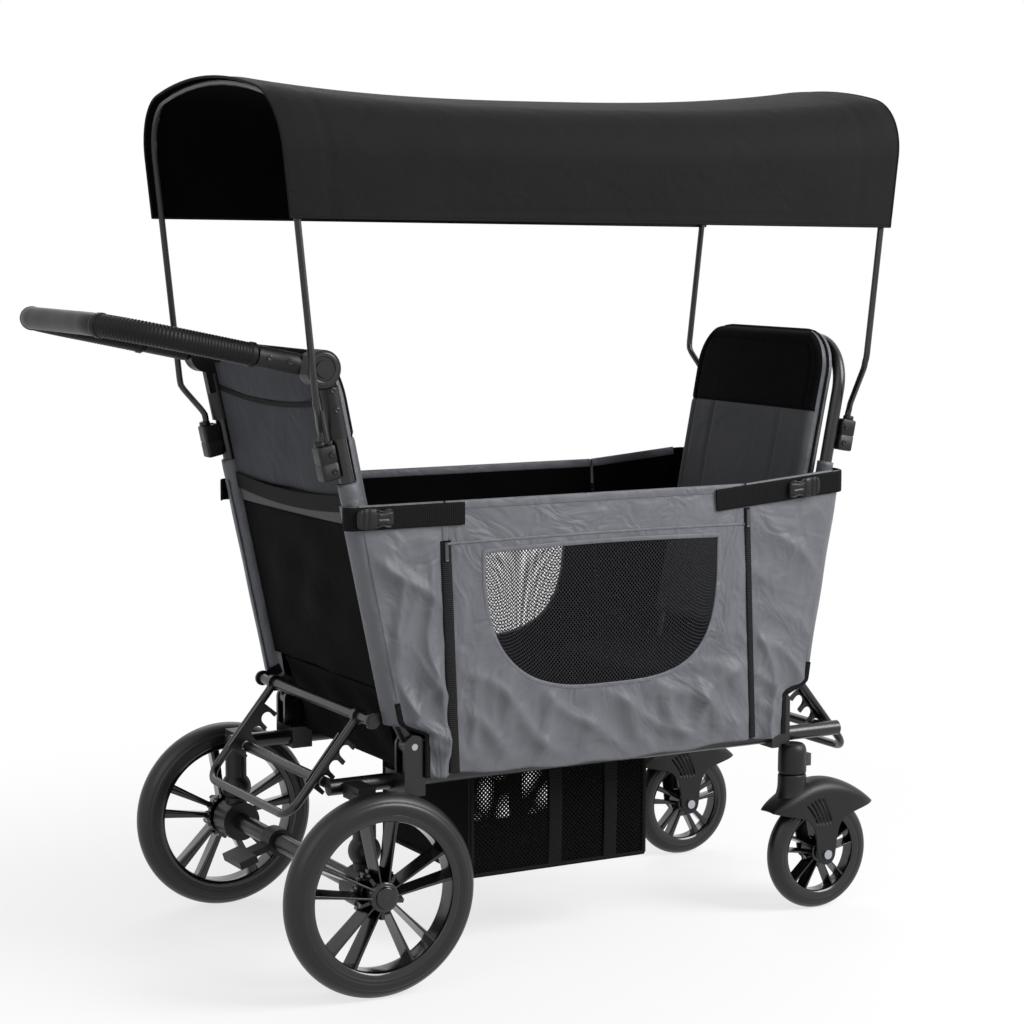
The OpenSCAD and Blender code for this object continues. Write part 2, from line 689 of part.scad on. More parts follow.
// Height of the top of a rod's jog, and the share of the jog made at a height
function jog_top(foot_y) = 40 + (rod_y - foot_y) * 1.1;
function jogged(foot_y, v) = min(1, max(0, (v - 40) / (jog_top(foot_y) - 40)));
// Half of a canopy rod in its own plane: foot, jog outward, leg and arch up to the crown
function half_bow(foot_y) =
  let (
    foot = [foot_y, -foot_l],
    low = [foot_y, 40],
    high = [rod_y, jog_top(foot_y)],
    leg = [rod_y, arch_v])
  concat([foot], corner(foot, low, high, 14), corner(low, high, leg, 14),
    [for (a = corner_turns) [rod_y - arch_r + arch_r * cos(a), arch_v + arch_r * sin(a)]],
    [for (a = crown_turns) [top_r * cos(a), arch_h - top_r + top_r * sin(a)]]);
// Canopy rod swept along its path with twelve sides
module bow(foot_y, d, jog) {
  half = half_bow(foot_y);
  h = len(half);
  path = concat(half, [for (i = [h - 2:-1:0]) [-half[i][0], half[i][1]]]);
  m = len(path);
  n = 12;
  pts = [for (i = [0:m - 1])
    let (v = path[min(i + 1, m - 1)] - path[max(i - 1, 0)], t = v / norm(v))
    for (k = [0:n - 1]) let (a = 360 * k / n, e = d / 2 * cos(a))
      [d / 2 * sin(a) + jog * jogged(foot_y, path[i][1]), path[i][0] - e * t[1], path[i][1] + e * t[0]]];
  skin = [for (i = [0:m - 2]) for (k = [0:n - 1]) let (a = i * n + k, b = i * n + (k + 1) % n)
    each [[a, b, a + n], [b, b + n, a + n]]];
  low = [for (k = [1:n - 2]) [0, k + 1, k]];
  high = [for (k = [1:n - 2]) (m - 1) * n * [1, 1, 1] + [0, k, k + 1]];
  polyhedron(points = pts, faces = concat(skin, low, high));
}
module rear_bow() { color(black) rear_bow_pose() bow(rear_post_y, rod_d, -rear_jog); }
module front_bow() { color(black) front_bow_pose() bow(front_post_y, rod_d, front_jog); }
module clip_block(d) {
  box([-rod_d / 2 - 5, -13, -clip_low], [clip_off - post_off - d / 2 - gap, 13, clip_high]);
}
// Bore of a clip for the foot of a rod
module foot_bore(y) {
  translate([0, y, -foot_l - seam]) cylinder(d = rod_d + 2 * seam, h = foot_l + 6 * rod_d);
}
module bow_clips() {
  color(black) {
    difference() {
      rear_pose() mirrored() translate([-clip_off, rear_post_y, clip_w]) clip_block(rear_post_d);
      rear_bow_pose() mirrored() foot_bore(rear_post_y);
    }
    difference() {
      front_pose() mirrored() translate([-clip_off, front_post_y, clip_w]) clip_block(front_post_d);
      front_bow_pose() mirrored() foot_bore(front_post_y);
    }
  }
}

// Half of the canopy section at an offset from the rod, from the hem to the crown
function half_section(off) = concat(
  [[rod_y + off, hem_h], [rod_y + off, mix(hem_h, arch_v, 0.5)]],
  [for (a = corner_turns) [rod_y - arch_r + (arch_r + off) * cos(a), arch_v + (arch_r + off) * sin(a)]],
  [for (a = crown_turns) [(top_r + off) * cos(a), arch_h - top_r + (top_r + off) * sin(a)]]);
function section(off) =
  let (h = half_section(off), n = len(h))
  concat(h, [for (i = [n - 2:-1:0]) [-h[i][0], h[i][1]]]);
// Reach and rise of a point of a leaning rod, from its place out of and up along the rod
function turn_x(u, v, lean) = u * cos(lean) + v * sin(lean);
function turn_z(u, v, lean) = u * sin(lean) + v * cos(lean);
// Point of the cover a share s of the way from the rear rod to the front rod
function cover_at(p, s) =
  let (
    r = frame_at(rear_pivot_x, rear_lean, -clip_off, clip_w),
    f = frame_at(-front_pivot_x, front_lean, -clip_off, clip_w),
    t = min(1, max(0, (s - cover_end) / (1 - 2 * cover_end))),
    k = 4 * t * (1 - t),
    lift = hem_rise * (1 - s) * max(0, 1 - (p[1] - hem_h) / (arch_v - hem_h)),
    v = p[1] + lift - roof_sag * k * max(0, (p[1] - hem_h) / (arch_h - hem_h)))
  [mix(r[0] - turn_x(rear_jog, v, rear_rod_lean), turn_x(-front_jog, v, front_rod_lean) - f[0], s),
    p[0] * (1 - 0.03 * k),
    mix(r[1] + turn_z(-rear_jog, v, rear_rod_lean), f[1] + turn_z(front_jog, v, front_rod_lean), s)];
module canopy_cover() {
  out = section(rod_d / 2 + gap + cover_t);
  inn = section(rod_d / 2 + gap);
  n = len(out);
  shares = concat([-cover_end], [for (i = [0:12]) mix(cover_end, 1 - cover_end, i / 12)], [1 + cover_end]);
  m = len(shares) - 1;
  pts = concat([for (s = shares) for (p = out) cover_at(p, s)],
    [for (s = shares) for (p = inn) cover_at(p, s)]);
  c = n * (m + 1);
  skin = [for (i = [0:m - 1]) for (k = [0:n - 2]) let (a = i * n + k)
    each [[a, a + 1, a + n], [a + 1, a + n + 1, a + n],
      [c + a, c + a + n, c + a + 1], [c + a + 1, c + a + n, c + a + n + 1]]];
  hems = [for (i = [0:m - 1]) let (a = i * n, b = a + n - 1)
    each [[a, a + n, c + a], [a + n, c + a + n, c + a], [b, c + b, b + n], [b + n, c + b, c + b + n]]];
  mouths = [for (k = [0:n - 2]) let (e = m * n + k)
    each [[k, c + k, k + 1], [k + 1, c + k, c + k + 1], [e, e + 1, c + e], [e + 1, c + e + 1, c + e]]];
  color("#262527") polyhedron(points = pts, faces = concat(skin, hems, mouths));
}

// Solid of revolution about the axle of a wheel
module wheel_at(x, y, z) {
  translate([x, y, z]) rotate([-90, 0, 0]) children();
}
module tyre(r, section_r, bead_r) {
  difference() {
    rotate_extrude($fn = 96) translate([r - section_r, 0]) circle(r = section_r);
    cylinder(r = bead_r, h = 3 * section_r, center = true, $fn = 96);
  }
}
// Rim with five pairs of spokes, a hub and, on the inner side, a toothed ring
module rim(bead_r, half, hub_half_w, hub_d, bore_d, spoke_t) {
  well = 9;
  difference() {
    union() {
      difference() {
        cylinder(r = bead_r - seam, h = 2 * half, center = true, $fn = 96);
        cylinder(r = bead_r - well, h = 3 * half, center = true, $fn = 96);
      }
      cylinder(d = hub_d, h = 2 * hub_half_w, center = true);
      for (k = [0:4]) for (s = [-1, 1]) rotate([0, 0, 72 * k + s * 14])
        translate([hub_d / 2 - 3, -spoke_t / 2, -half * 0.7])
          cube([bead_r - well / 2 - hub_d / 2 + 3, spoke_t, half * 1.4]);
    }
    cylinder(d = bore_d, h = 4 * hub_half_w, center = true);
  }
}
module rear_tyre() {
  color("#1e1e20") wheel_at(rear_axle_x, rear_track / 2, rear_wheel_r)
    tyre(rear_wheel_r, rear_tyre_r, rear_bead_r);
}
module left_rear_tyre() { rear_tyre(); }
module right_rear_tyre() { mirror([0, 1, 0]) rear_tyre(); }
module rear_rim() {
  color(black) wheel_at(rear_axle_x, rear_track / 2, rear_wheel_r)
    rim(rear_bead_r, rear_rim_half, hub_half, rear_hub_d, stub_d + 2 * run, 8);
}
module left_rear_rim() { rear_rim(); }
module right_rear_rim() { mirror([0, 1, 0]) rear_rim(); }

front_axle_x = caster_x + caster_trail;
module front_tyre() {
  color("#1e1e20") wheel_at(front_axle_x, caster_y, front_wheel_r)
    tyre(front_wheel_r, front_tyre_r, front_bead_r);
}
module left_front_tyre() { front_tyre(); }
module right_front_tyre() { mirror([0, 1, 0]) front_tyre(); }
module front_rim() {
  color(black) wheel_at(front_axle_x, caster_y, front_wheel_r)
    rim(front_bead_r, front_rim_half, front_hub_half, front_hub_d, bolt_d + 2 * run, 6);
}
module left_front_rim() { front_rim(); }
module right_front_rim() { mirror([0, 1, 0]) front_rim(); }
// Swivelling caster: stem, lower tower, mudguard and two fork legs
module caster() {
  outer = fork_half + leg_plate_t;
  tower_z = front_wheel_r + tower_rise;
  color(black) difference() {
    union() {
      translate([caster_x, caster_y, tower_z]) cylinder(d = socket_d, h = socket_low - gap - tower_z);
      translate([caster_x, caster_y, tower_z]) cylinder(d = stem_d, h = socket_low + stem_up - tower_z);
      wheel_at(front_axle_x, caster_y, front_wheel_r) {
        rotate([0, 0, -165]) rotate_extrude(angle = 150, $fn = 96) difference() {
          translate([front_wheel_r - 22, -outer]) square([fender_r - front_wheel_r + 22, 2 * outer]);
          translate([front_wheel_r - 30, -fork_half]) square([37, 2 * fork_half]);
        }
        for (s = [-1, 1]) translate([0, 0, s * (outer - leg_plate_t / 2)]) {
          translate([0, 0, 0.5 - leg_plate_t / 2]) linear_extrude(leg_plate_t - 1)
            polygon([[-30, -front_wheel_r + 6], [30, -front_wheel_r + 6], [13, 0], [-13, 0]]);
          cylinder(d = 30, h = leg_plate_t - 0.6, center = true);
        }
      }
    }
    wheel_at(front_axle_x, caster_y, front_wheel_r) {
      cylinder(r = front_wheel_r + 6, h = 2 * fork_half, center = true, $fn = 96);
      cylinder(d = bolt_d + 2 * seam, h = 4 * outer, center = true);
    }
  }
}
module left_caster() { caster(); }
module right_caster() { mirror([0, 1, 0]) caster(); }
module caster_bolt() {
  half = fork_half + leg_plate_t;
  color(steel) {
    along_y(front_axle_x, front_wheel_r, bolt_d, caster_y - half - 2, caster_y + half + 2);
    for (s = [-1, 1]) along_y(front_axle_x, front_wheel_r, bolt_d + 6, caster_y + s * (half + 2) - 2 + seam, caster_y + s * (half + 2) + 2 + seam);
  }
}
module left_caster_bolt() { caster_bolt(); }
module right_caster_bolt() { mirror([0, 1, 0]) caster_bolt(); }
// Small tab on the front of the socket that slides down to hold the caster straight
module swivel_lock() {
  x = caster_x + socket_d / 2 + gap;
  color("#3a3b3e") box([x, caster_y - 8, socket_low + 10], [x + 8, caster_y + 8, socket_low + 30]);
}
module left_swivel_lock() { swivel_lock(); }
module right_swivel_lock() { mirror([0, 1, 0]) swivel_lock(); }
module brake_pedal() {
  color(black) translate([rear_axle_x, 76, rear_wheel_r]) difference() {
    union() {
      along_y(0, 0, beam_d + 14, -16, 16);
      rotate([0, -18, 0]) box([-66, -14, -5], [0, 14, 5]);
      rotate([0, -18, 0]) box([-pedal_l, -pedal_half, -6], [-pedal_in, pedal_half, 6]);
    }
    along_y(0, 0, beam_d + 2 * run, -20, 20);
  }
}

left_rail();
right_rail();
rear_crossbar();
front_crossbar();
rear_brackets();
front_brackets();
pivot_bolts();
rear_legs();
axle_beam();
stub_axles();
caster_sockets();
floor_board();
footwell_basket();
rear_seat();
front_seat();
left_corner_panels();
right_corner_panels();
corner_straps();
strap_buckles();
left_door();
right_door();
left_rear_post();
right_rear_post();
rear_cross_tube();
push_bar_housings();
push_bar_pins();
rear_backrest();
rear_panel();
front_hoop();
front_cross_tube();
front_backrest();
push_bar();
push_bar_hubs();
push_bar_grips();
left_button();
right_button();
rear_prop();
rear_prop_plates();
front_prop();
front_prop_plates();
rear_bow();
front_bow();
bow_clips();
canopy_cover();
left_rear_tyre();
right_rear_tyre();
left_rear_rim();
right_rear_rim();
left_caster();
right_caster();
left_caster_bolt();
right_caster_bolt();
left_front_tyre();
right_front_tyre();
left_front_rim();
right_front_rim();
left_swivel_lock();
right_swivel_lock();
brake_pedal();
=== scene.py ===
import math
import bmesh
import bpy
import numpy as np
from mathutils import Matrix, Vector


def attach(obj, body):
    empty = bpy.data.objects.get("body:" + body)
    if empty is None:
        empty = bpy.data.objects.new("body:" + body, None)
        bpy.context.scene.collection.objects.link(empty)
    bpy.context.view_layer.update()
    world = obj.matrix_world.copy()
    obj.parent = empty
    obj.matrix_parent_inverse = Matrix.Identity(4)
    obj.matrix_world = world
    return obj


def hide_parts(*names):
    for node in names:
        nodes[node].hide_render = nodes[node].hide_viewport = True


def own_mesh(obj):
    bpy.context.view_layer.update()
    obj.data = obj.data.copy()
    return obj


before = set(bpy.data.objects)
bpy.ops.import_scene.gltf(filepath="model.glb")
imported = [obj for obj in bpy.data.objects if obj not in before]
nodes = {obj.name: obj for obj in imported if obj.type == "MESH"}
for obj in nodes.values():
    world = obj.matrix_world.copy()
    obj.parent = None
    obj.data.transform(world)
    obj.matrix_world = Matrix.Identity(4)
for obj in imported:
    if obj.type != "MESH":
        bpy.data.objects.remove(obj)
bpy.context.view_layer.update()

print("frame loaded with", len(nodes), "solids")


def hexColour(code):  # sRGB hex to the linear values that the shaders take
    v = np.array([int(code[i:i + 2], 16) for i in (1, 3, 5)]) / 255.0
    v = np.where(v <= 0.04045, v / 12.92, ((v + 0.055) / 1.055) ** 2.4)
    return (*[float(c) for c in v], 1.0)


def wire(mat, node, plugs):  # a socket is linked to the input of that name, a constant is set on it
    for name, value in plugs.items():
        if isinstance(value, bpy.types.NodeSocket):
            mat.node_tree.links.new(value, node.inputs[name])
        else:
            node.inputs[name].default_value = value
    return node


def addNode(mat, kind, plugs=None, **settings):  # a shader node with its settings and links
    node = mat.node_tree.nodes.new("ShaderNode" + kind)
    for key, value in settings.items():
        setattr(node, key, value)
    return wire(mat, node, plugs or {})


def newMaterial(name):  # a material and its surface shader
    mat = bpy.data.materials.new(name)
    mat.use_nodes = True
    return mat, mat.node_tree.nodes["Principled BSDF"]


def bands(mm):  # scale of a Wave texture for one band in so many millimetres
    return 314.16 / mm


def grains(mm):  # scale of a Noise texture for grains about this wide
    return 1000.0 / mm


def rigidFinish(name, colour, worn, roughness, grainMm, bump, ior=1.5, specular=0.5, metal=0.0):
    # reads Object coordinates, so it stays put on the part: slow clouds vary tint and shine,
    # fine grain the surface
    mat, bsdf = newMaterial(name)
    where = addNode(mat, "TexCoord").outputs["Object"]
    cloud = addNode(mat, "TexNoise", {"Vector": where, "Scale": grains(90), "Detail": 4.0}).outputs["Fac"]
    grain = addNode(mat, "TexNoise", {"Vector": where, "Scale": grains(grainMm), "Detail": 2.0})
    tint = addNode(mat, "Mix", {"Factor": cloud, "A": hexColour(colour), "B": hexColour(worn)},
                   data_type="RGBA")
    shine = addNode(mat, "MapRange", {"Value": cloud, "From Min": 0.3, "From Max": 0.7,
                                      "To Min": roughness - 0.06, "To Max": roughness + 0.07})
    skin = addNode(mat, "Bump", {"Height": grain.outputs["Fac"], "Strength": bump, "Distance": 0.0006})
    wire(mat, bsdf, {"Base Color": tint.outputs["Result"], "Roughness": shine.outputs["Result"],
                     "Normal": skin.outputs["Normal"], "IOR": ior, "Specular IOR Level": specular,
                     "Metallic": metal})
    return mat


def wovenCloth(name, colour, yarn, threadMm, bump, roughness, sheen, crease, gloss=0.2):
    # reads the UV map of its own sheet, which is laid out in metres: warp times weft gives the threads,
    # two stretched noises and a blotch the tone of the yarns, over a soft rumple
    mat, bsdf = newMaterial(name)
    uv = addNode(mat, "UVMap", uv_map="cloth").outputs["UV"]
    threads = {"Vector": uv, "Scale": bands(threadMm), "Distortion": 0.6}
    warp, weft = [addNode(mat, "TexWave", threads, bands_direction=way).outputs["Fac"] for way in "XY"]
    weave = addNode(mat, "Math", {0: warp, 1: weft}, operation="MULTIPLY")
    slubs = []
    for scale in ((45.0, 800.0, 1.0), (800.0, 45.0, 1.0)):
        stretched = addNode(mat, "Mapping", {"Vector": uv, "Scale": scale}).outputs["Vector"]
        slubs.append(addNode(mat, "TexNoise",
                             {"Vector": stretched, "Scale": 1.0, "Detail": 2.0}).outputs["Fac"])
    yarns = addNode(mat, "Math", dict(enumerate(slubs)), operation="ADD").outputs[0]
    blotch = addNode(mat, "TexNoise", {"Vector": uv, "Scale": grains(140), "Detail": 3.0}).outputs["Fac"]
    mixed = addNode(mat, "Math", {0: yarns, 1: 0.5, 2: blotch}, operation="MULTIPLY_ADD").outputs[0]
    tone = addNode(mat, "MapRange", {"Value": mixed, "From Min": 0.7, "From Max": 1.3}).outputs["Result"]
    ramp = addNode(mat, "ValToRGB", {"Fac": tone})
    for stop, code in zip(ramp.color_ramp.elements, (colour, yarn)):
        stop.color = hexColour(code)
    rumple = addNode(mat, "TexNoise", {"Vector": uv, "Scale": grains(60), "Detail": 2.0, "Distortion": 1.2})
    soft = addNode(mat, "Bump", {"Height": rumple.outputs["Fac"], "Strength": crease, "Distance": 0.012})
    face = addNode(mat, "Bump", {"Height": weave.outputs[0], "Strength": bump, "Distance": 0.0008,
                                 "Normal": soft.outputs["Normal"]})
    wire(mat, bsdf, {"Base Color": ramp.outputs["Color"], "Roughness": roughness, "IOR": 1.45,
                     "Specular IOR Level": gloss, "Sheen Weight": sheen, "Sheen Roughness": 0.45,
                     "Normal": face.outputs["Normal"]})
    return mat


def knittedNet(name, colour, holeMm, openShare):
    # round holes in a diamond lattice: open where two waves at 45 degrees, times each other,
    # pass the open share
    mat, bsdf = newMaterial(name)
    uv = addNode(mat, "UVMap", uv_map="cloth").outputs["UV"]
    turned = addNode(mat, "Mapping", {"Vector": uv, "Rotation": (0.0, 0.0, math.radians(45))})
    lattice = {"Vector": turned.outputs["Vector"], "Scale": bands(holeMm)}
    across, along = [addNode(mat, "TexWave", lattice, bands_direction=way).outputs["Fac"] for way in "XY"]
    cells = addNode(mat, "Math", {0: across, 1: along}, operation="MULTIPLY").outputs[0]
    cords = addNode(mat, "MapRange", {"Value": cells, "From Min": openShare, "From Max": openShare + 0.08,
                                      "To Min": 1.0, "To Max": 0.0})
    wire(mat, bsdf, {"Base Color": hexColour(colour), "Roughness": 0.7, "IOR": 1.45,
                     "Specular IOR Level": 0.08, "Alpha": cords.outputs["Result"]})
    return mat


def ribbedTape(name, colour, yarn, ribMm, roughness, bump):
    # ribs across the length, which is U on a swept piece, with flecks of paler yarn
    mat, bsdf = newMaterial(name)
    uv = addNode(mat, "UVMap", uv_map="cloth").outputs["UV"]
    ribbing = {"Vector": uv, "Scale": bands(ribMm), "Distortion": 0.4}
    ribs = addNode(mat, "TexWave", ribbing, bands_direction="X").outputs["Fac"]
    fleck = addNode(mat, "TexNoise", {"Vector": uv, "Scale": grains(2.5), "Detail": 2.0}).outputs["Fac"]
    level = addNode(mat, "Math", {0: ribs, 1: fleck}, operation="MULTIPLY").outputs[0]
    ramp = addNode(mat, "ValToRGB", {"Fac": level})
    for stop, code in zip(ramp.color_ramp.elements, (colour, yarn)):
        stop.color = hexColour(code)
    face = addNode(mat, "Bump", {"Height": ribs, "Strength": bump, "Distance": 0.001})
    wire(mat, bsdf, {"Base Color": ramp.outputs["Color"], "Roughness": roughness, "IOR": 1.46,
                     "Specular IOR Level": 0.12, "Normal": face.outputs["Normal"]})
    return mat


materials = {
    # epoxy powder coat baked on steel tube: satin black with a fine orange peel
    "powderCoat": rigidFinish("powderCoatedTube", "#09090a", "#101012", 0.3, 2.2, 0.2),
    # nylon from an etched mould: matt black, fine grain, a little paler where handled
    "nylon": rigidFinish("mouldedNylon", "#0a0a0b", "#111113", 0.42, 1.6, 0.3, 1.53, 0.3),
    # ABS from a polished mould: deep black with a clear highlight
    "abs": rigidFinish("glossMouldedAbs", "#060607", "#0b0b0c", 0.17, 6.0, 0.05, 1.54),
    # grey filled nylon of swivel locks and zip pulls
    "greyNylon": rigidFinish("greyMouldedNylon", "#2b2c2f", "#38393d", 0.45, 1.6, 0.3, 1.53),
    # foamed rubber tyre: satin skin with fine pores
    "tyre": rigidFinish("foamRubberTyre", "#0a0a0b", "#111112", 0.38, 2.6, 0.2, 1.52, 0.4),
    # thermoplastic rubber grip: soft and matt, drawn in ribs
    "gripRubber": rigidFinish("ribbedGripRubber", "#080809", "#0e0e0f", 0.46, 1.2, 0.15, 1.5, 0.2),
    # zinc plated steel of bolts and axles: bright, faintly brushed
    "zinc": rigidFinish("zincPlatedSteel", "#b9bcc0", "#9a9da2", 0.26, 1.4, 0.1, metal=1.0),
    # 600 denier polyester: slate grey melange, plain weave, drawn at 3 mm so that the threads show
    "slate": wovenCloth("slatePolyester", "#55575c", "#606267", 3.0, 0.08, 0.52, 0.06, 0.6, 0.45),
    # the same weave in a dark blue grey for the upper back
    "ink": wovenCloth("inkPolyester", "#33353b", "#3b3d44", 3.0, 0.12, 0.74, 0.04, 0.3),
    # the same weave in ash grey on the seat backs
    "ash": wovenCloth("ashPolyester", "#4e4f52", "#57585b", 3.0, 0.12, 0.74, 0.04, 0.25),
    # coated black polyester of seats, skirts and pockets
    "black": wovenCloth("blackPolyester", "#060607", "#0c0c0d", 3.2, 0.2, 0.8, 0.0, 0.12, 0.06),
    # tight, matt canopy weave
    "canopy": wovenCloth("canopyPolyester", "#0f0e10", "#151416", 2.6, 0.25, 0.76, 0.0, 0.15, 0.16),
    # near-black inner side of the canopy and walls: a dark lining, drawn darker still as painted shade so
    # that the inside reads as shadowed
    "lining": wovenCloth("darkLiningPaintedShade", "#040405", "#08080a", 3.2, 0.1, 0.85, 0.0, 0.1, 0.04),
    # knitted spacer cloth at the head of the seat backs
    "padding": wovenCloth("spacerKnit", "#08080a", "#111113", 4.2, 0.5, 0.85, 0.0, 0.1, 0.06),
    # basket and window nets, holes drawn at 5 and 4.2 mm so that they show
    "net": knittedNet("knittedNet", "#050506", 5.0, 0.3),
    "fineNet": knittedNet("fineWindowNet", "#28282b", 4.2, 0.1),
    # woven straps and bindings
    "webbing": ribbedTape("polyesterWebbing", "#070708", "#161618", 3.5, 0.68, 0.5),
    # zip tape with its row of teeth
    "zip": ribbedTape("coilZip", "#08080a", "#1b1b1d", 3.0, 0.5, 0.6),
}
print("materials made:", len(materials))

# The solids that show as they are
carried = {
    "powderCoat": "left_rail right_rail rear_crossbar front_crossbar axle_beam left_rear_post "
                  "right_rear_post rear_cross_tube front_hoop front_cross_tube push_bar rear_prop "
                  "rear_prop_plates front_prop front_prop_plates rear_bow front_bow rear_brackets "
                  "front_brackets",
    "nylon": "rear_legs push_bar_housings push_bar_hubs left_button right_button brake_pedal floor_board",
    "greyNylon": "left_swivel_lock right_swivel_lock",
    "zinc": "pivot_bolts stub_axles push_bar_pins left_caster_bolt right_caster_bolt",
}
for key, names in carried.items():
    for name in names.split():
        for slotOf in nodes[name].material_slots:
            slotOf.material = materials[key]

# Camera at the photograph's place
scene = bpy.context.scene
view = {"place": (-1.95468, -3.40302, 1.10396), "turns": ((-29.36, "Z"), (83.41, "X"), (0.14, "Z")),
        "lens": 87.22, "sensor": 36.0}
lensData = bpy.data.cameras.new("photoCamera")
lensData.lens, lensData.sensor_width = view["lens"], view["sensor"]
photoCamera = bpy.data.objects.new("photoCamera", lensData)
scene.collection.objects.link(photoCamera)
stand = Matrix.Translation(view["place"])
for degrees, axis in view["turns"]:
    stand = stand @ Matrix.Rotation(math.radians(degrees), 4, axis)
photoCamera.matrix_world = stand
scene.camera = photoCamera
scene.view_settings.view_transform = "Standard"

# Studio: a white sweep, one broad lamp to the right of the camera, a weaker one to its left and one behind
studio = {"lamps": {"keyLamp": (165.0, (2.2, -2.5, 2.7), 2.0), "fillLamp": (24.0, (-3.2, -2.0, 2.8), 2.6),
                    "rimLamp": (40.0, (1.0, 3.4, 3.4), 2.6)},
          "aim": (0.0, 0.0, 0.6), "sky": 0.36, "floor": "#f4f4f5",
          "fade": {"From Min": 0.5, "From Max": 1.7, "To Min": 0.72, "To Max": 1.0}}
floorCorners = [(-30, -30, 0), (30, -30, 0), (30, 30, 0), (-30, 30, 0)]
white = (1.0, 1.0, 1.0, 1.0)
for name, (power, place, size) in studio["lamps"].items():
    lampData = bpy.data.lights.new(name, "AREA")
    lampData.energy, lampData.size = power, size
    lamp = bpy.data.objects.new(name, lampData)
    lamp.location = place
    lamp.rotation_euler = (Vector(studio["aim"]) - Vector(place)).to_track_quat("-Z", "Y").to_euler()
    scene.collection.objects.link(lamp)
world = bpy.data.worlds.new("whiteStudio")
scene.world = world
world.use_nodes = True
ray = addNode(world, "LightPath").outputs
seen = addNode(world, "Math", {0: ray["Is Camera Ray"], 1: ray["Is Transmission Ray"]}, operation="MAXIMUM")
seen = addNode(world, "Math", {0: seen.outputs[0], 1: ray["Is Glossy Ray"]}, operation="MAXIMUM")
level = addNode(world, "MapRange", {"Value": seen.outputs[0], "To Min": studio["sky"], "To Max": 1.0})
wire(world, world.node_tree.nodes["Background"], {"Color": white, "Strength": level.outputs["Result"]})

# pale studio floor: it glows more the further it lies from the part, so that it runs into the sky
# without an edge
floorMat, floorBsdf = newMaterial("paleStudioFloor")
wire(floorMat, floorBsdf, {"Roughness": 0.7, "Base Color": hexColour(studio["floor"])})
spot = addNode(floorMat, "TexCoord").outputs["Object"]
far = addNode(floorMat, "VectorMath", {0: spot}, operation="LENGTH").outputs["Value"]
fade = addNode(floorMat, "MapRange", {"Value": far, **studio["fade"]}, interpolation_type="SMOOTHSTEP")
ray = addNode(floorMat, "LightPath").outputs
seen = addNode(floorMat, "Math", {0: ray["Is Camera Ray"], 1: ray["Is Glossy Ray"]}, operation="MAXIMUM")
share = addNode(floorMat, "Math", {0: fade.outputs["Result"], 1: seen.outputs[0]}, operation="MULTIPLY")
glow = addNode(floorMat, "Emission", {"Color": white, "Strength": 1.0})
blend = addNode(floorMat, "MixShader", {"Fac": share.outputs[0], 1: floorBsdf.outputs["BSDF"],
                                        2: glow.outputs["Emission"]})
wire(floorMat, floorMat.node_tree.nodes["Material Output"], {"Surface": blend.outputs["Shader"]})
floorMesh = bpy.data.meshes.new("studioFloor")
floorMesh.from_pydata(floorCorners, [], [(0, 1, 2, 3)])
floorMesh.materials.append(floorMat)
studioFloor = bpy.data.objects.new("studioFloor", floorMesh)
scene.collection.objects.link(studioFloor)
print("camera, lamps and floor placed")


# Mesh helpers. Shapes are worked out in millimetres and go into the mesh in metres.
def grid(x, y, z):  # points from arrays of their places, stretched to one shape
    return np.stack(np.broadcast_arrays(x, y, z), axis=-1)


def circle(count):  # angles once round
    return np.linspace(0, 2 * np.pi, count, endpoint=False)


def gone(points, axis):  # the way gone along a grid, as the mean of its rows
    steps = np.linalg.norm(np.diff(points, axis=axis), axis=2).mean(axis=1 - axis)
    return np.concatenate([[0.0], np.cumsum(steps)])


def gridPiece(name, points, mats, form="sheet", flip=False):
    # quads between neighbouring points of a grid, with a UV map of its mean side lengths in metres;
    # a belt closes across, a solid is a belt with two caps, a ring closes both ways
    closeU, closeV = form == "ring", form != "sheet"
    nu, nv = points.shape[:2]
    u, v = np.arange(nu if closeU else nu - 1), np.arange(nv if closeV else nv - 1)
    i, j = [a.ravel() for a in np.meshgrid(u, v, indexing="ij")]
    i2, j2 = i + 1, j + 1
    quads = np.stack([i * nv + j, (i2 % nu) * nv + j, (i2 % nu) * nv + j2 % nv, i * nv + j2 % nv], axis=1)
    along = gone(np.concatenate([points, points[:1]]) if closeU else points, 0) * 0.001
    across = gone(np.concatenate([points, points[:, :1]], axis=1) if closeV else points, 1) * 0.001
    uv = np.stack([np.stack([along[a], across[b]], axis=1) for a, b in ((i, j), (i2, j), (i2, j2), (i, j2))],
                  axis=1)
    if flip:
        quads, uv = quads[:, ::-1], uv[:, ::-1]
    faces = [tuple(q) for q in quads.tolist()]
    uv = uv.reshape(-1, 2)
    if form == "solid":
        first, last = list(range(nv)), list(range((nu - 1) * nv, nu * nv))
        faces += [tuple(first if flip else first[::-1]), tuple(last[::-1] if flip else last)]
        uv = np.concatenate([uv, np.zeros((2 * nv, 2))])
    mesh = bpy.data.meshes.new(name)
    mesh.from_pydata((points.reshape(-1, 3) * 0.001).tolist(), [], faces)
    layer = mesh.uv_layers.new(name="cloth")
    layer.data.foreach_set("uv", np.ascontiguousarray(uv, dtype=np.float32).ravel())
    mesh.polygons.foreach_set("use_smooth", np.ones(len(mesh.polygons), dtype=bool))
    for key in mats.split():
        mesh.materials.append(materials[key])
    mesh.update()
    piece = bpy.data.objects.new(name, mesh)
    scene.collection.objects.link(piece)
    return piece


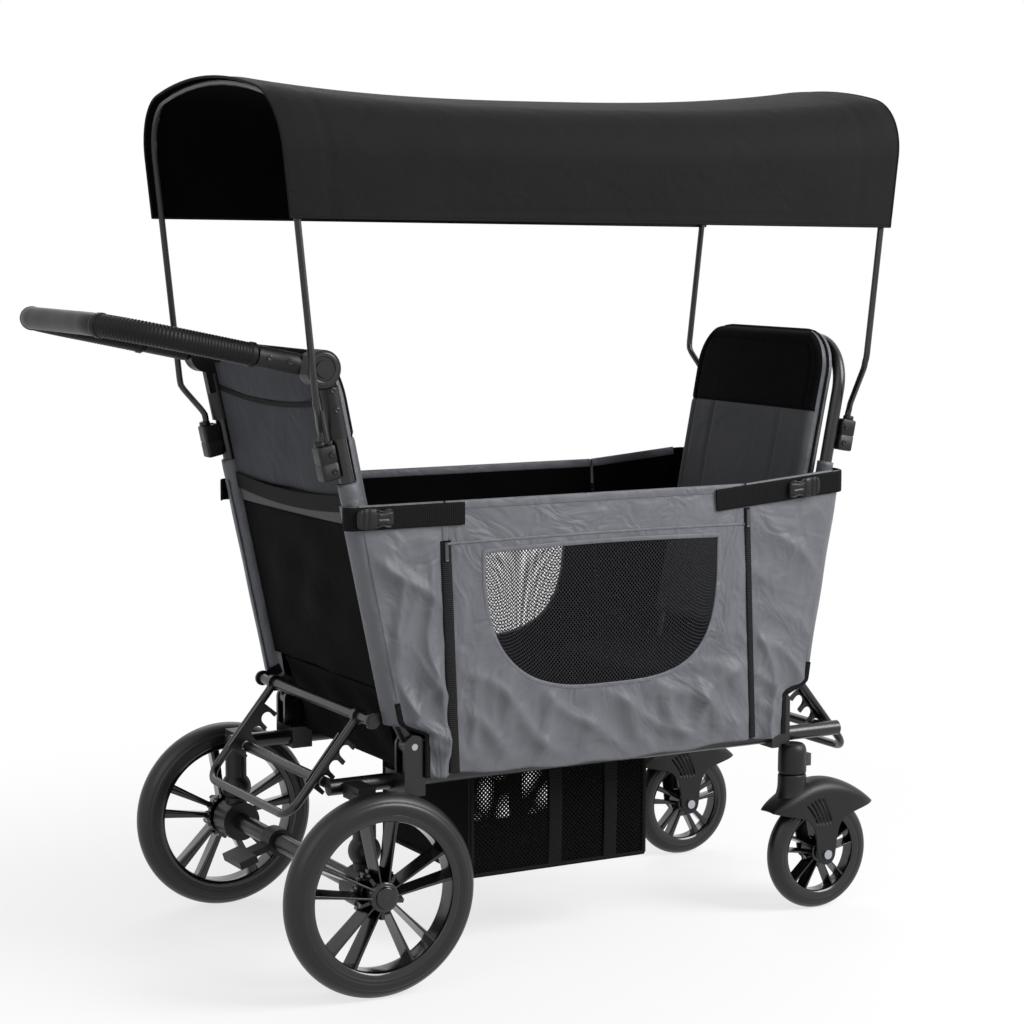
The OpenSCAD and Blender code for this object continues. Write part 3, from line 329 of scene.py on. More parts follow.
def sweepPiece(name, path, profile, up, mats, closed=False):
    # a closed profile (across, up) carried along a path: across is up x heading, so it lies flat on
    # the surface
    ring = np.concatenate([path[-1:], path, path[:1]]) if closed else path
    heading = np.gradient(ring, axis=0)
    heading = heading[1:-1] if closed else heading
    heading /= np.linalg.norm(heading, axis=1, keepdims=True)
    side = np.cross(np.broadcast_to(np.asarray(up, dtype=float), path.shape), heading)
    side /= np.linalg.norm(side, axis=1, keepdims=True)
    lift = np.cross(heading, side)
    points = path[:, None] + side[:, None] * profile[None, :, :1] + lift[:, None] * profile[None, :, 1:]
    return gridPiece(name, points, mats, "ring" if closed else "solid")


def oval(width, height, count=16, power=2.0):  # superellipse outline, counterclockwise
    c, s = np.cos(circle(count)), np.sin(circle(count))
    return np.stack([width / 2 * np.sign(c) * np.abs(c) ** (2 / power),
                     height / 2 * np.sign(s) * np.abs(s) ** (2 / power)], axis=1)


def column(low, high, count):  # equal steps, as the first direction of a grid
    return np.linspace(low, high, count)[:, None]


def unit(x):  # held between 0 and 1
    return np.clip(x, 0.0, 1.0)


def smoothStep(x):  # a soft rise from 0 to 1
    x = unit(x)
    return x * x * (3.0 - 2.0 * x)


def even(path, count):  # points at equal steps along a path
    run = gone(path[:, None], 0)
    at = np.linspace(0.0, run[-1], count)
    return np.stack([np.interp(at, run, path[:, k]) for k in range(path.shape[1])], axis=1)


def soften(line, rounds, closed=True):  # cuts the corners of an outline: each side keeps its middle half
    for _ in range(rounds):
        a, b = (line, np.roll(line, -1, axis=0)) if closed else (line[:-1], line[1:])
        cut = np.stack([0.75 * a + 0.25 * b, 0.25 * a + 0.75 * b], axis=1).reshape(-1, line.shape[1])
        line = cut if closed else np.concatenate([line[:1], cut, line[-1:]])
    return line


def joinPieces(name, pieces):  # several closed shells as one piece
    whole = bmesh.new()
    for piece in pieces:
        whole.from_mesh(piece.data)
    mesh = pieces[0].data.copy()
    mesh.name = name
    whole.to_mesh(mesh)
    whole.free()
    for piece in pieces:
        bpy.data.objects.remove(piece)
    joined = bpy.data.objects.new(name, mesh)
    scene.collection.objects.link(joined)
    return joined


def thicken(piece, mm, offset=0.0):
    # an even thickness, whose inner side takes the last of the piece's materials
    mod = piece.modifiers.new("thickness", "SOLIDIFY")
    mod.thickness = mm * 0.001
    mod.offset = offset
    mod.material_offset = len(piece.data.materials) - 1
    mod.material_offset_rim = 0


def dress(piece, body, slot, *replaced, fold=None):
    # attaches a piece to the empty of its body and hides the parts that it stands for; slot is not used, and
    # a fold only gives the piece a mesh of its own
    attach(piece, body)
    if replaced:
        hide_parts(*replaced)
    if fold:
        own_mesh(piece)
    return piece


def sheetPiece(name, points, mats, thick, body, slot, *replaced, flat, restsOn, held="stretched", fold=None,
               form="sheet", flip=False, **cut):  # a thickened cloth; its flat size in metres is not used
    piece = gridPiece(name, points, mats, form, flip)
    if thick:
        thicken(piece, thick)
    dress(piece, body, slot, *replaced, fold=fold)


sides = {"right": -1.0, "left": 1.0}
outSign = {"rear": -1.0, "front": 1.0}
lean = {"rear": math.radians(12), "front": math.radians(11)}
pivot = {"rear": (-331.0, 346.0), "front": (343.0, 346.0)}
postY = {"rear": 213.0, "front": 186.0}
foldDown = {"axis": (0, 0, 1), "anchor": (0, 0, 0.30), "keep": 0.3}


def framePoint(end, out, w):  # a place on a leaning frame: out of the wagon, and up along its posts
    turn, sign = lean[end], outSign[end]
    px, pz = pivot[end]
    x = px + sign * (out * math.cos(turn) + w * math.sin(turn))
    return x, pz - out * math.sin(turn) + w * math.cos(turn)


def frameGrid(end, y, w, out):  # points of a frame from arrays of its across, up and outward places
    x, z = framePoint(end, out, w)
    return grid(x, y, z)


def frameWay(end, tilt=0.0):  # the direction out of a frame, tilted up a little
    return frameGrid(end, 0.0, tilt, 1.0) - frameGrid(end, 0.0, 0.0, 0.0)


# Wheels: turned tyres, glossy rims with five pairs of tapered spokes, a hub cap and a toothed ring on
# the inner side
wheels = {
    "rear": {"x": -417.0, "y": 286.0, "r": 150.0, "tyre": 22.0, "bead": 118.0, "half": 18.5, "hub": 23.0,
             "hubHalf": 24.0, "fork": (6.0, 22.0), "wide": (8.0, 16.0), "ring": 36.0},
    "front": {"x": 417.0, "y": 200.0, "r": 93.5, "tyre": 16.0, "bead": 72.0, "half": 13.5, "hub": 17.0,
              "hubHalf": 20.0, "fork": (4.5, 13.0), "wide": (6.0, 11.0), "ring": 0.0},
}
spokes = {"pairs": 5, "first": 18, "lug": 54}
gear = {"bore": 27.0, "out": (-20.0, -9.0), "teeth": 24, "tall": 2.2}


def turned(c, outline, sign, count=144, teeth=0):
    # an outline of radius and outward place, turned about the axle
    a = circle(count)
    r, out = outline[:, :1], outline[:, 1:]
    if teeth:
        r = r + np.where(r > c["ring"] - 2, gear["tall"] * np.tanh(6 * np.sin(teeth * a)), 0.0)
    return grid(c["x"] + r * np.cos(a), sign * (c["y"] + out), c["r"] + r * np.sin(a))


def tyreOutline(c):  # round section, cut at the bead, with a fine crease where the sidewall starts
    t = circle(96)
    turn = np.abs(np.angle(np.exp(1j * t)))
    size = c["tyre"] * (1 - 0.045 * np.exp(-((turn - 1.15) / 0.05) ** 2)
                        - 0.03 * np.exp(-((turn - 1.75) / 0.06) ** 2))
    return np.stack([np.maximum(c["r"] - c["tyre"] + size * np.cos(t), c["bead"] + 0.2), size * np.sin(t)],
                    axis=1)


def rimOutline(c):  # barrel with a rolled flange on both sides
    b, h = c["bead"], c["half"]
    side = np.array([[b - 9, h * 0.7], [b - 8, h - 1], [b - 5.5, h + 0.6], [b - 1.5, h + 2], [b + 2.4, h + 2],
                     [b + 2.8, h - 1], [b - 0.6, h - 2.5]])
    return soften(np.concatenate([side * [1, -1], side[::-1]]), 2)


def hubOutline(c):  # barrel with a stepped cap on the outer side
    r, h = c["hub"], c["hubHalf"]
    return soften(np.array([[0.4, -h], [r - 4, -h], [r, -h + 1.5], [r, -h + 5], [r, h - 11], [r - 0.5, h - 7],
                            [r - 4, h - 5.5], [r - 6.5, h - 5], [r - 7, h - 3], [r - 7.5, h - 0.6],
                            [r - 10, h], [0.4, h + 0.6]]), 2, closed=False)


def spokeGrid(c, degrees, edge, sign):
    # a blade from the hub to the barrel: narrow outer edge, wide inner edge, drawn out to the cap at the hub
    turn = math.radians(degrees)
    t = column(0, 1, 40)
    form = soften(np.array([[-1.0, -1.0], [1.0, -1.0], [0.95, -0.6], [0.34, 0.92], [0.3, 1.0], [-0.3, 1.0],
                            [-0.34, 0.92], [-0.95, -0.6]]), 2)
    along = c["hub"] - 5 + (c["bead"] - 4 - c["hub"] + 5) * t
    wide = c["wide"][0] + (c["wide"][1] - c["wide"][0]) * t ** 1.4
    across = edge * (c["fork"][0] + (c["fork"][1] - c["fork"][0]) * t) + form[:, 0] * wide / 2
    outer, inner = 0.98 - 0.24 * t + 0.1 * t ** 6, 0.72 + 0.1 * t
    out = form[:, 1] * np.where(form[:, 1] > 0, c["half"] * outer, c["half"] * inner)
    return grid(c["x"] + along * math.cos(turn) - across * math.sin(turn), sign * (c["y"] + out),
                c["r"] + along * math.sin(turn) + across * math.cos(turn))


for side, sign in sides.items():
    for end, c in wheels.items():
        wheel, name, flip = "%s_%s_" % (side, end), side + end.title(), sign < 0
        tyre = gridPiece(name + "Tyre", turned(c, tyreOutline(c), sign), "tyre", "ring", flip)
        dress(tyre, wheel + "wheel", "tyre_rubber", wheel + "tyre")
        shells = [gridPiece("barrel", turned(c, rimOutline(c), sign), "abs", "ring", flip),
                  gridPiece("hub", turned(c, hubOutline(c), sign, 72), "abs", "solid", flip)]
        hub = c["hub"]
        lug = dict(c, bead=hub * 1.5 + 4, fork=(0.0, 0.0), wide=(hub * 0.9, hub * 0.72), half=c["half"] * 0.7)
        turns = range(0, 360, 360 // spokes["pairs"])
        blades = [spokeGrid(c, turn + spokes["first"], edge, sign) for turn in turns for edge in (-1, 1)]
        blades += [spokeGrid(lug, turn + spokes["lug"], 0, sign) for turn in turns]  # blocks on the hub
        shells += [gridPiece("blade", blade, "abs", "solid", not flip) for blade in blades]
        if c["ring"]:
            (low, high), bore = gear["out"], gear["bore"]
            line = np.array([[bore, low], [c["ring"], low], [c["ring"], high], [bore, high], [bore, low]])
            tooth = turned(c, even(line, 25)[:-1], sign, 288, gear["teeth"])
            shells.append(gridPiece("ring", tooth, "abs", "ring", flip))
        dress(joinPieces(name + "Rim", shells), wheel + "wheel", "plastic_gloss", wheel + "rim")
print("wheels made")

# Casters: a domed mudguard with a pointed brim at each end, vents, two fork legs and a round tower
casterForm = {"x": 367.0, "y": 200.0, "axle": (417.0, 93.5), "reach": 99.0, "tip": 76.0, "dome": 46.0,
              "half": 30.0, "shoulder": 24.0, "wall": 4.0, "socket": 23.0, "joint": 228.0, "rail": 276.8,
              "arch": 0.45, "ventLow": 51.0, "ventDeep": 4.5, "ventHalf": 2.1}
legEdge = np.array([[0.0, 0.0, -17.5], [0.05, 9.5, -15.5], [0.1, 16.0, -7.0], [0.15, 17.6, 4.0],
                    [0.28, 21.0, 34.0], [0.38, 27.0, 50.0], [0.5, 40.0, 61.0], [0.72, 68.0, 68.0],
                    [0.9, 90.0, 72.5], [1.0, 99.0, 75.0]])
ventLines = ((-40.0, 84.0, -19.0), (-33.0, 88.0, -12.0), (-26.0, 91.0, -5.5), (-18.5, 93.0, 1.5),
             (-11.0, 94.0, 8.0))


def mudguard(c, sign):
    # lengthwise from tip to tip; across, an arch down to its shoulders and a wall down to the edge of
    # the brim and leg
    s = column(-1, 1, 281)
    b = np.linspace(-1, 1, 121)[None, :]
    edge = soften(legEdge, 3, closed=False)
    lowX = np.sign(s) * np.interp(np.abs(s), edge[:, 0], edge[:, 1])
    lowZ = np.interp(np.abs(s), edge[:, 0], edge[:, 2])
    ridge = c["tip"] + c["dome"] * unit(np.cos(np.pi / 2 * s)) ** 0.8
    q = unit(np.abs(b) / c["arch"]) * np.pi / 2
    t = unit((np.abs(b) - c["arch"]) / (1 - c["arch"]))
    drop = c["shoulder"] * (1 - 0.95 * np.abs(s) ** 4)
    z = (ridge - drop * (1 - np.cos(q) ** 0.8)) * (1 - t) + np.minimum(lowZ, ridge - drop) * t
    x = c["reach"] * s * (1 - t) + lowX * t
    y = c["half"] * (1 - 0.45 * np.abs(s) ** 6) * np.sin(q) ** 0.8
    above = z - c["ventLow"]
    for topX, topZ, footX in ventLines:
        rise = unit(above / (topZ - c["ventLow"]))
        off = np.abs(x - footX - (topX - footX) * rise ** 1.4)
        ends = unit(above / 2) * unit((topZ - z) / 2)
        y = y - c["ventDeep"] * unit((c["ventHalf"] - off) / 0.7) * ends * (t > 0)
    return grid(c["axle"][0] + x, sign * c["y"] + np.sign(b) * y, c["axle"][1] + z)


def upright(c, outline, sign):  # an outline of radius and height, turned about the swivel axis
    a = circle(72)
    line = soften(np.array(outline), 2, closed=False)
    r, z = line[:, :1], line[:, 1:]
    return grid(c["x"] + r * np.cos(a), sign * c["y"] + r * np.sin(a), z)


for side, sign in sides.items():
    c = casterForm
    body = side + "_caster_body"
    guard = gridPiece(side + "Mudguard", mudguard(c, sign), "nylon")
    thicken(guard, c["wall"], offset=-1.0)
    dress(guard, body, "plastic_black", side + "_caster")
    r, z, rail = c["socket"], c["joint"], c["rail"]
    tower = [[0.4, z - 0.6], [r - 3, z - 0.6], [r, z - 2], [r, z - 12], [r + 0.4, z - 24], [r + 2.5, z - 34],
             [r + 5, z - 41], [r - 8, z - 45], [0.4, z - 45]]
    dress(gridPiece(side + "CasterTower", upright(c, tower, sign), "nylon", "solid", True), body,
          "plastic_black")
    socket = [[0.4, rail], [14, rail], [18, rail - 1], [21.5, rail - 6], [r, rail - 13], [r, z + 12],
              [r, z + 2], [r - 1.5, z + 0.3], [0.4, z + 0.3]]
    dress(gridPiece(side + "CasterSocket", upright(c, socket, sign), "nylon", "solid", True), "chassis",
          "plastic_black", *(["caster_sockets"] if side == "right" else []))
print("casters made")

# Push bar cover: a ribbed grip on each arm and smooth foam round the corners and the cross part
barCover = {"start": 103.0, "reach": 312.0, "bend": 105.0, "y": 214.0, "rise": math.radians(12.0),
            "hub": (24.0, 574.0), "rib": 4.8, "crest": 17.0, "valley": 14.6, "foam": 16.4, "collar": 17.9,
            "ribbed": 232.0, "mouth": 12.0}
hubX, hubZ = framePoint("rear", *barCover["hub"])


def barPath(c, step):  # centre line of the bar in its own plane, at equal steps
    a = np.linspace(0, np.pi / 2, 120)
    bend = c["bend"]
    arc = np.stack([-c["reach"] + bend - bend * np.sin(a), c["y"] - bend + bend * np.cos(a)], axis=1)
    half = np.concatenate([[[-c["start"], c["y"]]], arc])
    whole = np.concatenate([half, half[::-1] * [1, -1]])
    length = np.linalg.norm(np.diff(whole, axis=0), axis=1).sum()
    return even(whole, int(length / step)), length


def barGrid(c):
    # radius along the bar: ribs from the arms into the corners, a collar, then foam with a soft skin
    path, length = barPath(c, 0.6)
    run = np.linspace(0, length, len(path))
    s = np.minimum(run, length - run)
    crest = c["valley"] + (c["crest"] - c["valley"]) * np.abs(np.sin(np.pi * s / c["rib"])) ** 0.7
    r = np.where(s < c["ribbed"], crest, c["foam"])
    r = np.where((s < 9) | (np.abs(s - c["ribbed"]) < 4.5), c["collar"], r)
    r = np.convolve(np.pad(r, 2, mode="edge"), np.ones(5) / 5, mode="valid")
    r[[0, -1]] = c["mouth"]
    heading = np.gradient(path, axis=0)
    heading /= np.linalg.norm(heading, axis=1, keepdims=True)
    a, r = circle(36), r[:, None]
    lx = path[:, :1] - heading[:, 1:] * r * np.cos(a)
    ly = path[:, 1:] + heading[:, :1] * r * np.cos(a)
    lz = r * np.sin(a)
    up, level = math.sin(c["rise"]), math.cos(c["rise"])
    return grid(hubX + lx * level + lz * up, ly, hubZ - lx * up + lz * level)


dress(gridPiece("pushBarGrips", barGrid(barCover), "gripRubber", "solid", True), "push_bar_body",
      "grip_rubber", "push_bar_grips")
print("push bar cover made")

# Clips of the canopy rods: rounded blocks with a parting groove, two bolts and a collar for the rod
rodClip = {"w": 443.0, "low": -28.0, "high": 22.0, "near": 27.5, "far": 55.0, "half": 13.0, "rod": 46.0,
           "collar": 8.5, "collarTop": 29.0, "bolts": (9.0, -16.0), "boltOut": 36.0}
boltSet = {"r": 4.4, "h": 2.0, "arm": (52.0, 84.0), "armY": 229.0, "post": (512.0, 541.0), "postY": 228.0,
           "postOut": 16.0}
hubRing = np.array([[17.5, -1.0], [17.8, 0.9], [19.0, 1.4], [22.5, 1.4], [23.6, 0.9], [24.0, -1.0]])


def boltHead(x, y, z, mat):  # a low round head with a socket, turned about the side that it faces
    r, h = boltSet["r"], boltSet["h"]
    line = soften(np.array([[0.3, h - 1.2], [r * 0.42, h - 1.2], [r * 0.46, h], [r * 0.8, h], [r, h * 0.6],
                            [r, -1.0], [0.3, -1.0]]), 1, closed=False)
    a, facing = circle(24), np.sign(y)
    points = grid(x + facing * line[:, :1] * np.cos(a), y + facing * line[:, 1:], z - line[:, :1] * np.sin(a))
    return gridPiece("bolt", points, mat, "solid", True)


def clipGrid(end, y):  # superellipse rings up the block, smaller at both ends and at the parting groove
    c = rodClip
    w = np.array([c["low"], c["low"] + 0.6, c["low"] + 2.4, -5.0, -4.2, -3.4, -2.6, c["high"] - 2.4,
                  c["high"] - 0.6, c["high"]])[:, None]
    size = np.array([0.84, 0.94, 1.0, 1.0, 0.93, 0.93, 1.0, 1.0, 0.94, 0.84])[:, None]
    ring = oval(c["far"] - c["near"], 2 * c["half"], 48, 7.0)
    return frameGrid(end, y + ring[:, 1] * size, c["w"] + w, (c["far"] + c["near"]) / 2 + ring[:, 0] * size)


def collarGrid(end, y):  # a short turned sleeve round the rod, above the block
    r, top = rodClip["collar"], rodClip["collarTop"]
    line = soften(np.array([[0.4, top - 9], [r, top - 9], [r, top - 2], [r - 1, top], [0.4, top]]), 1,
                  closed=False)
    a, r = circle(32), line[:, :1]
    return frameGrid(end, y + r * np.sin(a), rodClip["w"] + line[:, 1:], rodClip["rod"] + r * np.cos(a))


shells = []
for end in postY:
    for sign in sides.values():
        y, flip = sign * postY[end], end == "rear"
        shells.append(gridPiece("clip", clipGrid(end, y), "nylon", "solid", flip))
        shells.append(gridPiece("collar", collarGrid(end, y), "nylon", "solid", flip))
        for w in rodClip["bolts"]:
            x, z = framePoint(end, rodClip["boltOut"], rodClip["w"] + w)
            shells.append(boltHead(x, sign * (postY[end] + rodClip["half"]), z, "nylon"))
dress(joinPieces("rodClips", shells), "canopy", "plastic_black", "bow_clips")

# Bolts of the push bar's arms and of its housings, and a raised ring round each hub
armBolts, postBolts = [], []
for sign in sides.values():
    for along in boltSet["arm"]:
        x, z = hubX - along * math.cos(barCover["rise"]), hubZ + along * math.sin(barCover["rise"])
        armBolts.append(boltHead(x, sign * boltSet["armY"], z, "abs"))
    ring = turned({"x": hubX, "y": boltSet["armY"], "r": hubZ}, soften(hubRing, 1, closed=False), sign, 72)
    armBolts.append(gridPiece("hubRing", ring, "abs", "ring", sign > 0))
    for w in boltSet["post"]:
        x, z = framePoint("rear", boltSet["postOut"], w)
        postBolts.append(boltHead(x, sign * boltSet["postY"], z, "abs"))
dress(joinPieces("pushBarBolts", armBolts), "push_bar_body", "plastic_black")
dress(joinPieces("postBolts", postBolts), "rear_frame", "plastic_black")
print("clips and bolts made")

# Canopy: one continuous sheet from the rear rod to the front rod, with a hem and a seamed band at each end
canopyCover = {"rodY": 254.0, "archR": 88.0, "archH": 545.0, "sweep": 12.0, "hem": 329.0, "hemRise": 18.0,
               "sag": 26.0, "over": 11.0, "length": 889.0, "off": 7.0, "jog": (20.0, 27.0),
               "lean": (6.0, 6.5), "band": 46.0, "thick": 1.6, "stitch": 15.0, "flat": (1.07, 1.03)}


def archHalf(c, off):  # hem, straight leg, corner arc and shallow crown arc of one side
    top = math.radians(c["sweep"])
    topR = (c["rodY"] - c["archR"] + c["archR"] * math.sin(top)) / math.sin(top)
    v0 = c["archH"] - c["archR"] * math.cos(top) - topR * (1 - math.cos(top))
    a = np.radians(np.linspace(0, 90 - c["sweep"], 40))
    b = np.radians(np.linspace(90 - c["sweep"], 90, 30))[1:]
    leg = np.stack([np.full(12, c["rodY"] + off), np.linspace(c["hem"], v0, 13)[:-1]], axis=1)
    bend = c["archR"] + off
    corner = np.stack([c["rodY"] - c["archR"] + bend * np.cos(a), v0 + bend * np.sin(a)], axis=1)
    crown = np.stack([(topR + off) * np.cos(b), c["archH"] - topR + (topR + off) * np.sin(b)], axis=1)
    return np.concatenate([leg, corner, crown]), v0


def canopySheet(c):
    # the arch carried from rod to rod: a saddle between them, small pulls next to the rods, seams and
    # a stitched hem
    half, v0 = archHalf(c, c["off"])
    y, v = even(np.concatenate([half * [-1, 1], half[-2::-1]]), 141).T
    end = c["over"] / c["length"]
    run = np.concatenate([np.linspace(-end, end, 9)[:-1], np.linspace(end, 1 - end, 121),
                          np.linspace(1 - end, 1 + end, 9)[1:]])[:, None]
    t = unit((run - end) / (1 - 2 * end))
    k = 1.0 - np.abs(2 * t - 1) ** 2.6  # steep next to the rods, flat in the middle
    height = unit((v - c["hem"]) / (c["archH"] - c["hem"]))
    lift = c["hemRise"] * (1 - run) * unit(1 - (v - c["hem"]) / (v0 - c["hem"]))
    pull = np.exp(-t * 16) * np.cos(y * 0.085) + np.exp(-(1 - t) * 16) * np.cos(y * 0.085 + 0.8)
    v = v + lift - c["sag"] * k * height + 0.9 * pull * k * height
    y = y * (1 - 0.028 * k * (1 - 0.5 * height)) + 1.3 * np.sign(y) * np.sin(t * 9.0 + 0.6) * k * (1 - height)
    for place in (c["band"], c["length"] - c["band"]):
        seam = np.exp(-((run * c["length"] - place) / 2.2) ** 2)
        y, v = y * (1 - 0.006 * seam), v - 1.3 * seam * height
    y = y - np.sign(y) * np.exp(-((v - c["hem"] - lift - c["stitch"]) / 2.0) ** 2)
    x, z = 0.0, 0.0
    for name, share, jog, tilt in zip(outSign, (1 - run, run), c["jog"], np.radians(c["lean"])):
        rodX, rodZ = framePoint(name, rodClip["rod"], rodClip["w"])
        sign = outSign[name]
        x = x + (rodX - jog * math.cos(tilt) + sign * v * math.sin(tilt)) * share
        z = z + (rodZ + sign * jog * math.sin(tilt) + v * math.cos(tilt)) * share
    return grid(x, y, z)


c = canopyCover
sheet = canopySheet(c)
# the inner side of the canopy takes the near-black lining, which is painted shade under the canopy
sheetPiece("canopySheet", sheet, "canopy lining", c["thick"], "canopy", "fabric_black", "canopy_cover",
           flat=c["flat"], restsOn=["rear_bow", "front_bow"])
for name, edge, section, up in (("canopyHemA", sheet[:, 0] + [0, 0, 1.5], (3.4, 4.2), [0, 0, 1.0]),
                                ("canopyHemB", sheet[:, -1] + [0, 0, 1.5], (3.4, 4.2), [0, 0, 1.0]),
                                ("canopyMouthA", sheet[0], (4.0, 3.6), [1.0, 0, 0.05]),
                                ("canopyMouthB", sheet[-1], (4.0, 3.6), [1.0, 0, 0.05])):
    dress(sweepPiece(name, edge, oval(*section, 10), up, "canopy"), "canopy", "fabric_black")
print("canopy sheet and hems made")

# Sides: sewn walls of slate cloth whose inner side is a near-black lining, darkened as painted shade. The
# door between the two zips has a net window.
sideWall = {"y": 232.4, "low": 300.5, "top": 704.0, "hem": 699.0, "zip": (-268.0, 264.0),
            "zipTop": (648.0, 668.0), "zipLean": math.tan(math.radians(2.5)), "zipGap": 2.5, "band": 640.0,
            "seam": 643.0, "strapLow": 664.0, "foot": 366.0, "knee": 384.0, "inner": 18.6, "postOff": 16.0,
            "thick": 2.4, "drawIn": {"rear": 0.0, "front": 15.0}, "slack": (1.6, 0.9), "lift": (0.0, 14.0),
            "liftFrom": 600.0, "doorFlat": (0.53, 0.405), "doorArea": 0.16, "netFlat": (0.42, 0.222),
            "netArea": 0.078, "cornerFlat": (0.16, 0.405), "cornerArea": 0.0455,
            "flapCut": ((0.042, 0.324), (0.064, 0.334)), "flapThick": 2.0,
            "flap": {"rear": (204.0, 20.0), "front": (186.0, 19.0)}}
# width and thickness of what is sewn on the walls, and how far out of them it lies
wallSew = {"window": (7.0, 2.6, 2.6), "doorSeam": (4.0, 2.0, 2.6), "hem": (14.0, 5.0, 0.0),
           "binding": (9.0, 4.0, 1.0), "rearZip": (18.0, 3.0, 2.0), "frontZip": (11.0, 3.0, 2.0),
           "seam": (10.0, 2.6, 1.2), "pull": (6.0, 2.4, 4.6)}
windowCut = {"x": -12.0, "half": 208.0, "top": 628.0, "depth": 217.0, "power": (2.8, 3.5), "tuck": 3.0}


def foldSet(x, z, turn, pitch, wander, phase):
    # crests across a direction, one in each pitch: one less the size of a sine whose line wanders,
    # let in by patches
    u = x * math.cos(turn) + z * math.sin(turn)
    v = z * math.cos(turn) - x * math.sin(turn)
    bend = wander * (np.sin(v / 63 + phase) + 0.5 * np.sin(v / 27 + 2.3 * phase))
    crest = (1 - np.abs(np.sin((u + bend) * np.pi / pitch + phase))) ** 1.5
    return crest * smoothStep(0.5 + 0.6 * np.sin(v / 88 + u / 67 + 1.7 * phase))


def wallFolds(x, z):  # slack of the sewn cloth: folds in four directions, deepest low down
    deep = 0.5 + 1.3 * unit((600.0 - z) / 260.0)
    sets = (5.5 * foldSet(x, z, 0.22, 66.0, 15.0, 0.7) + 5.0 * foldSet(x, z, -0.62, 83.0, 19.0, 2.1)
            + 4.0 * foldSet(x, z, 0.95, 58.0, 12.0, 4.0) + 2.0 * foldSet(x, z, -0.15, 31.0, 9.0, 5.2))
    return deep * (sets - 1.5)


def hemSag(t, z, x, drop):  # the lower edge hangs a little between its ends, with a slow ripple
    low = unit((380.0 - z) / 80.0) ** 1.5
    return low * (drop * np.sin(np.pi * unit(t)) + 1.6 * np.sin(x * 0.055))


def drawnIn(end, z):
    # how far the front wall's edge lies behind its post, nothing at the knee and most at the top
    c = sideWall
    return c["drawIn"][end] * unit((z - c["knee"]) / (c["top"] - c["knee"]))


def postEdge(end, z):  # where a wall meets the middle of a leaning post
    px, pz = pivot[end]
    off = sideWall["postOff"] / math.cos(lean[end]) + (z - pz) * math.tan(lean[end]) - drawnIn(end, z)
    return px + outSign[end] * off


def zipLine(k, z):  # the zips lean a little backwards
    return sideWall["zip"][k] - (z - sideWall["low"]) * sideWall["zipLean"]


def cornerWall(end):
    # from the post, or the bracket below its knee, to the zip: folds and sharper slanting creases
    # that fade out at the edges and under the strap; the front corner is pulled up
    c, k, away = sideWall, int(end == "front"), -outSign[end]
    z = column(c["low"], c["top"], 90)
    foot = pivot[end][0] + away * c["inner"]
    below = np.interp(z, [c["low"], c["foot"], c["knee"]], [foot, foot, postEdge(end, c["knee"])])
    edge = np.where(z > c["knee"], postEdge(end, z), below)
    t = np.linspace(0, 1, 44)
    x = edge * (1 - t) + (zipLine(k, z) - away * c["zipGap"]) * t
    held = unit(np.minimum(t, 1 - t) * 5) * unit((c["strapLow"] - z) / 60)
    sharp = 7.0 * foldSet(x + 40, z, 0.9, 74.0, 10.0, 1.3) * unit((z - c["low"]) / 60)
    folds = (wallFolds(x * 1.2 + 300, z) + sharp) * held * c["slack"][k]
    y = -c["y"] - folds - 2.0 * np.sin(np.pi * t) * held
    rise = c["lift"][k] * (1 - t) * unit((z - c["liftFrom"]) / (c["top"] - c["liftFrom"]))
    return grid(x, y, z + rise - hemSag(t, z, x, 3.0))


def cornerFlap(end):  # the wall turns round its post, from the wall's edge to the outer side of the post
    c = sideWall
    z = column(c["knee"] - 4, c["top"] + c["lift"][end == "front"], 60)
    phi = np.linspace(0, np.pi / 2, 16)
    inY, deep = c["flap"][end]
    x = postEdge(end, z) + outSign[end] * (-5.0 + (deep + drawnIn(end, z)) * np.sin(phi) ** 0.9)
    y = -(inY + (c["y"] - inY) * np.cos(phi) ** 0.8) - 0.8 * np.sin(z * 0.05 + phi) * np.sin(2 * phi)
    return grid(x, y, z)


def windowEdge(count):
    # round the net from the top rear corner, down and along the curve, then back along the top
    w = windowCut
    a = np.linspace(0, np.pi, 400)
    cx, sx = np.cos(np.pi - a), np.sin(a)
    power = np.where(cx < 0, *w["power"])  # the front corner is the squarer one
    curve = np.stack([w["x"] + w["half"] * np.sign(cx) * np.abs(cx) ** (2 / power),
                      w["top"] - w["depth"] * np.abs(sx) ** (2 / power)], axis=1)
    top = np.stack([np.linspace(curve[-1, 0], curve[0, 0], 60), np.full(60, w["top"])], axis=1)
    top[:, 1] += 4.0 * np.sin(np.linspace(0, np.pi, 60))
    return np.concatenate([even(curve, 2 * count)[:-1], even(top, count)[:-1]])


def doorWall(inner, count):
    # rings from the window's edge out to the zips and hems: folds that fade out at both and above the
    # top seam
    c = sideWall
    z = np.array([c["top"], c["low"], c["low"], c["top"]])
    corners = np.stack([np.where([1, 1, 0, 0], zipLine(0, z) + c["zipGap"], zipLine(1, z) - c["zipGap"]), z],
                       axis=1)
    outer = np.concatenate([even(corners, 2 * count)[:-1], even(corners[[3, 0]], count)[:-1]])
    far = column(0, 1, 36)
    x, z = [inner[:, k] * (1 - far) + outer[:, k] * far for k in (0, 1)]
    held = unit((1 - far) * 4) * unit(far * 4) * unit((c["band"] - z) / 60)
    puff = np.sin(np.pi * unit((z - c["low"]) / 404)) * unit((1 - far) * 3)
    y = -c["y"] - wallFolds(x, z) * held - 2.5 * puff
    run = (x - c["zip"][0]) / (c["zip"][1] - c["zip"][0])
    return grid(x, y, z - hemSag(run, z, x, 8.0))


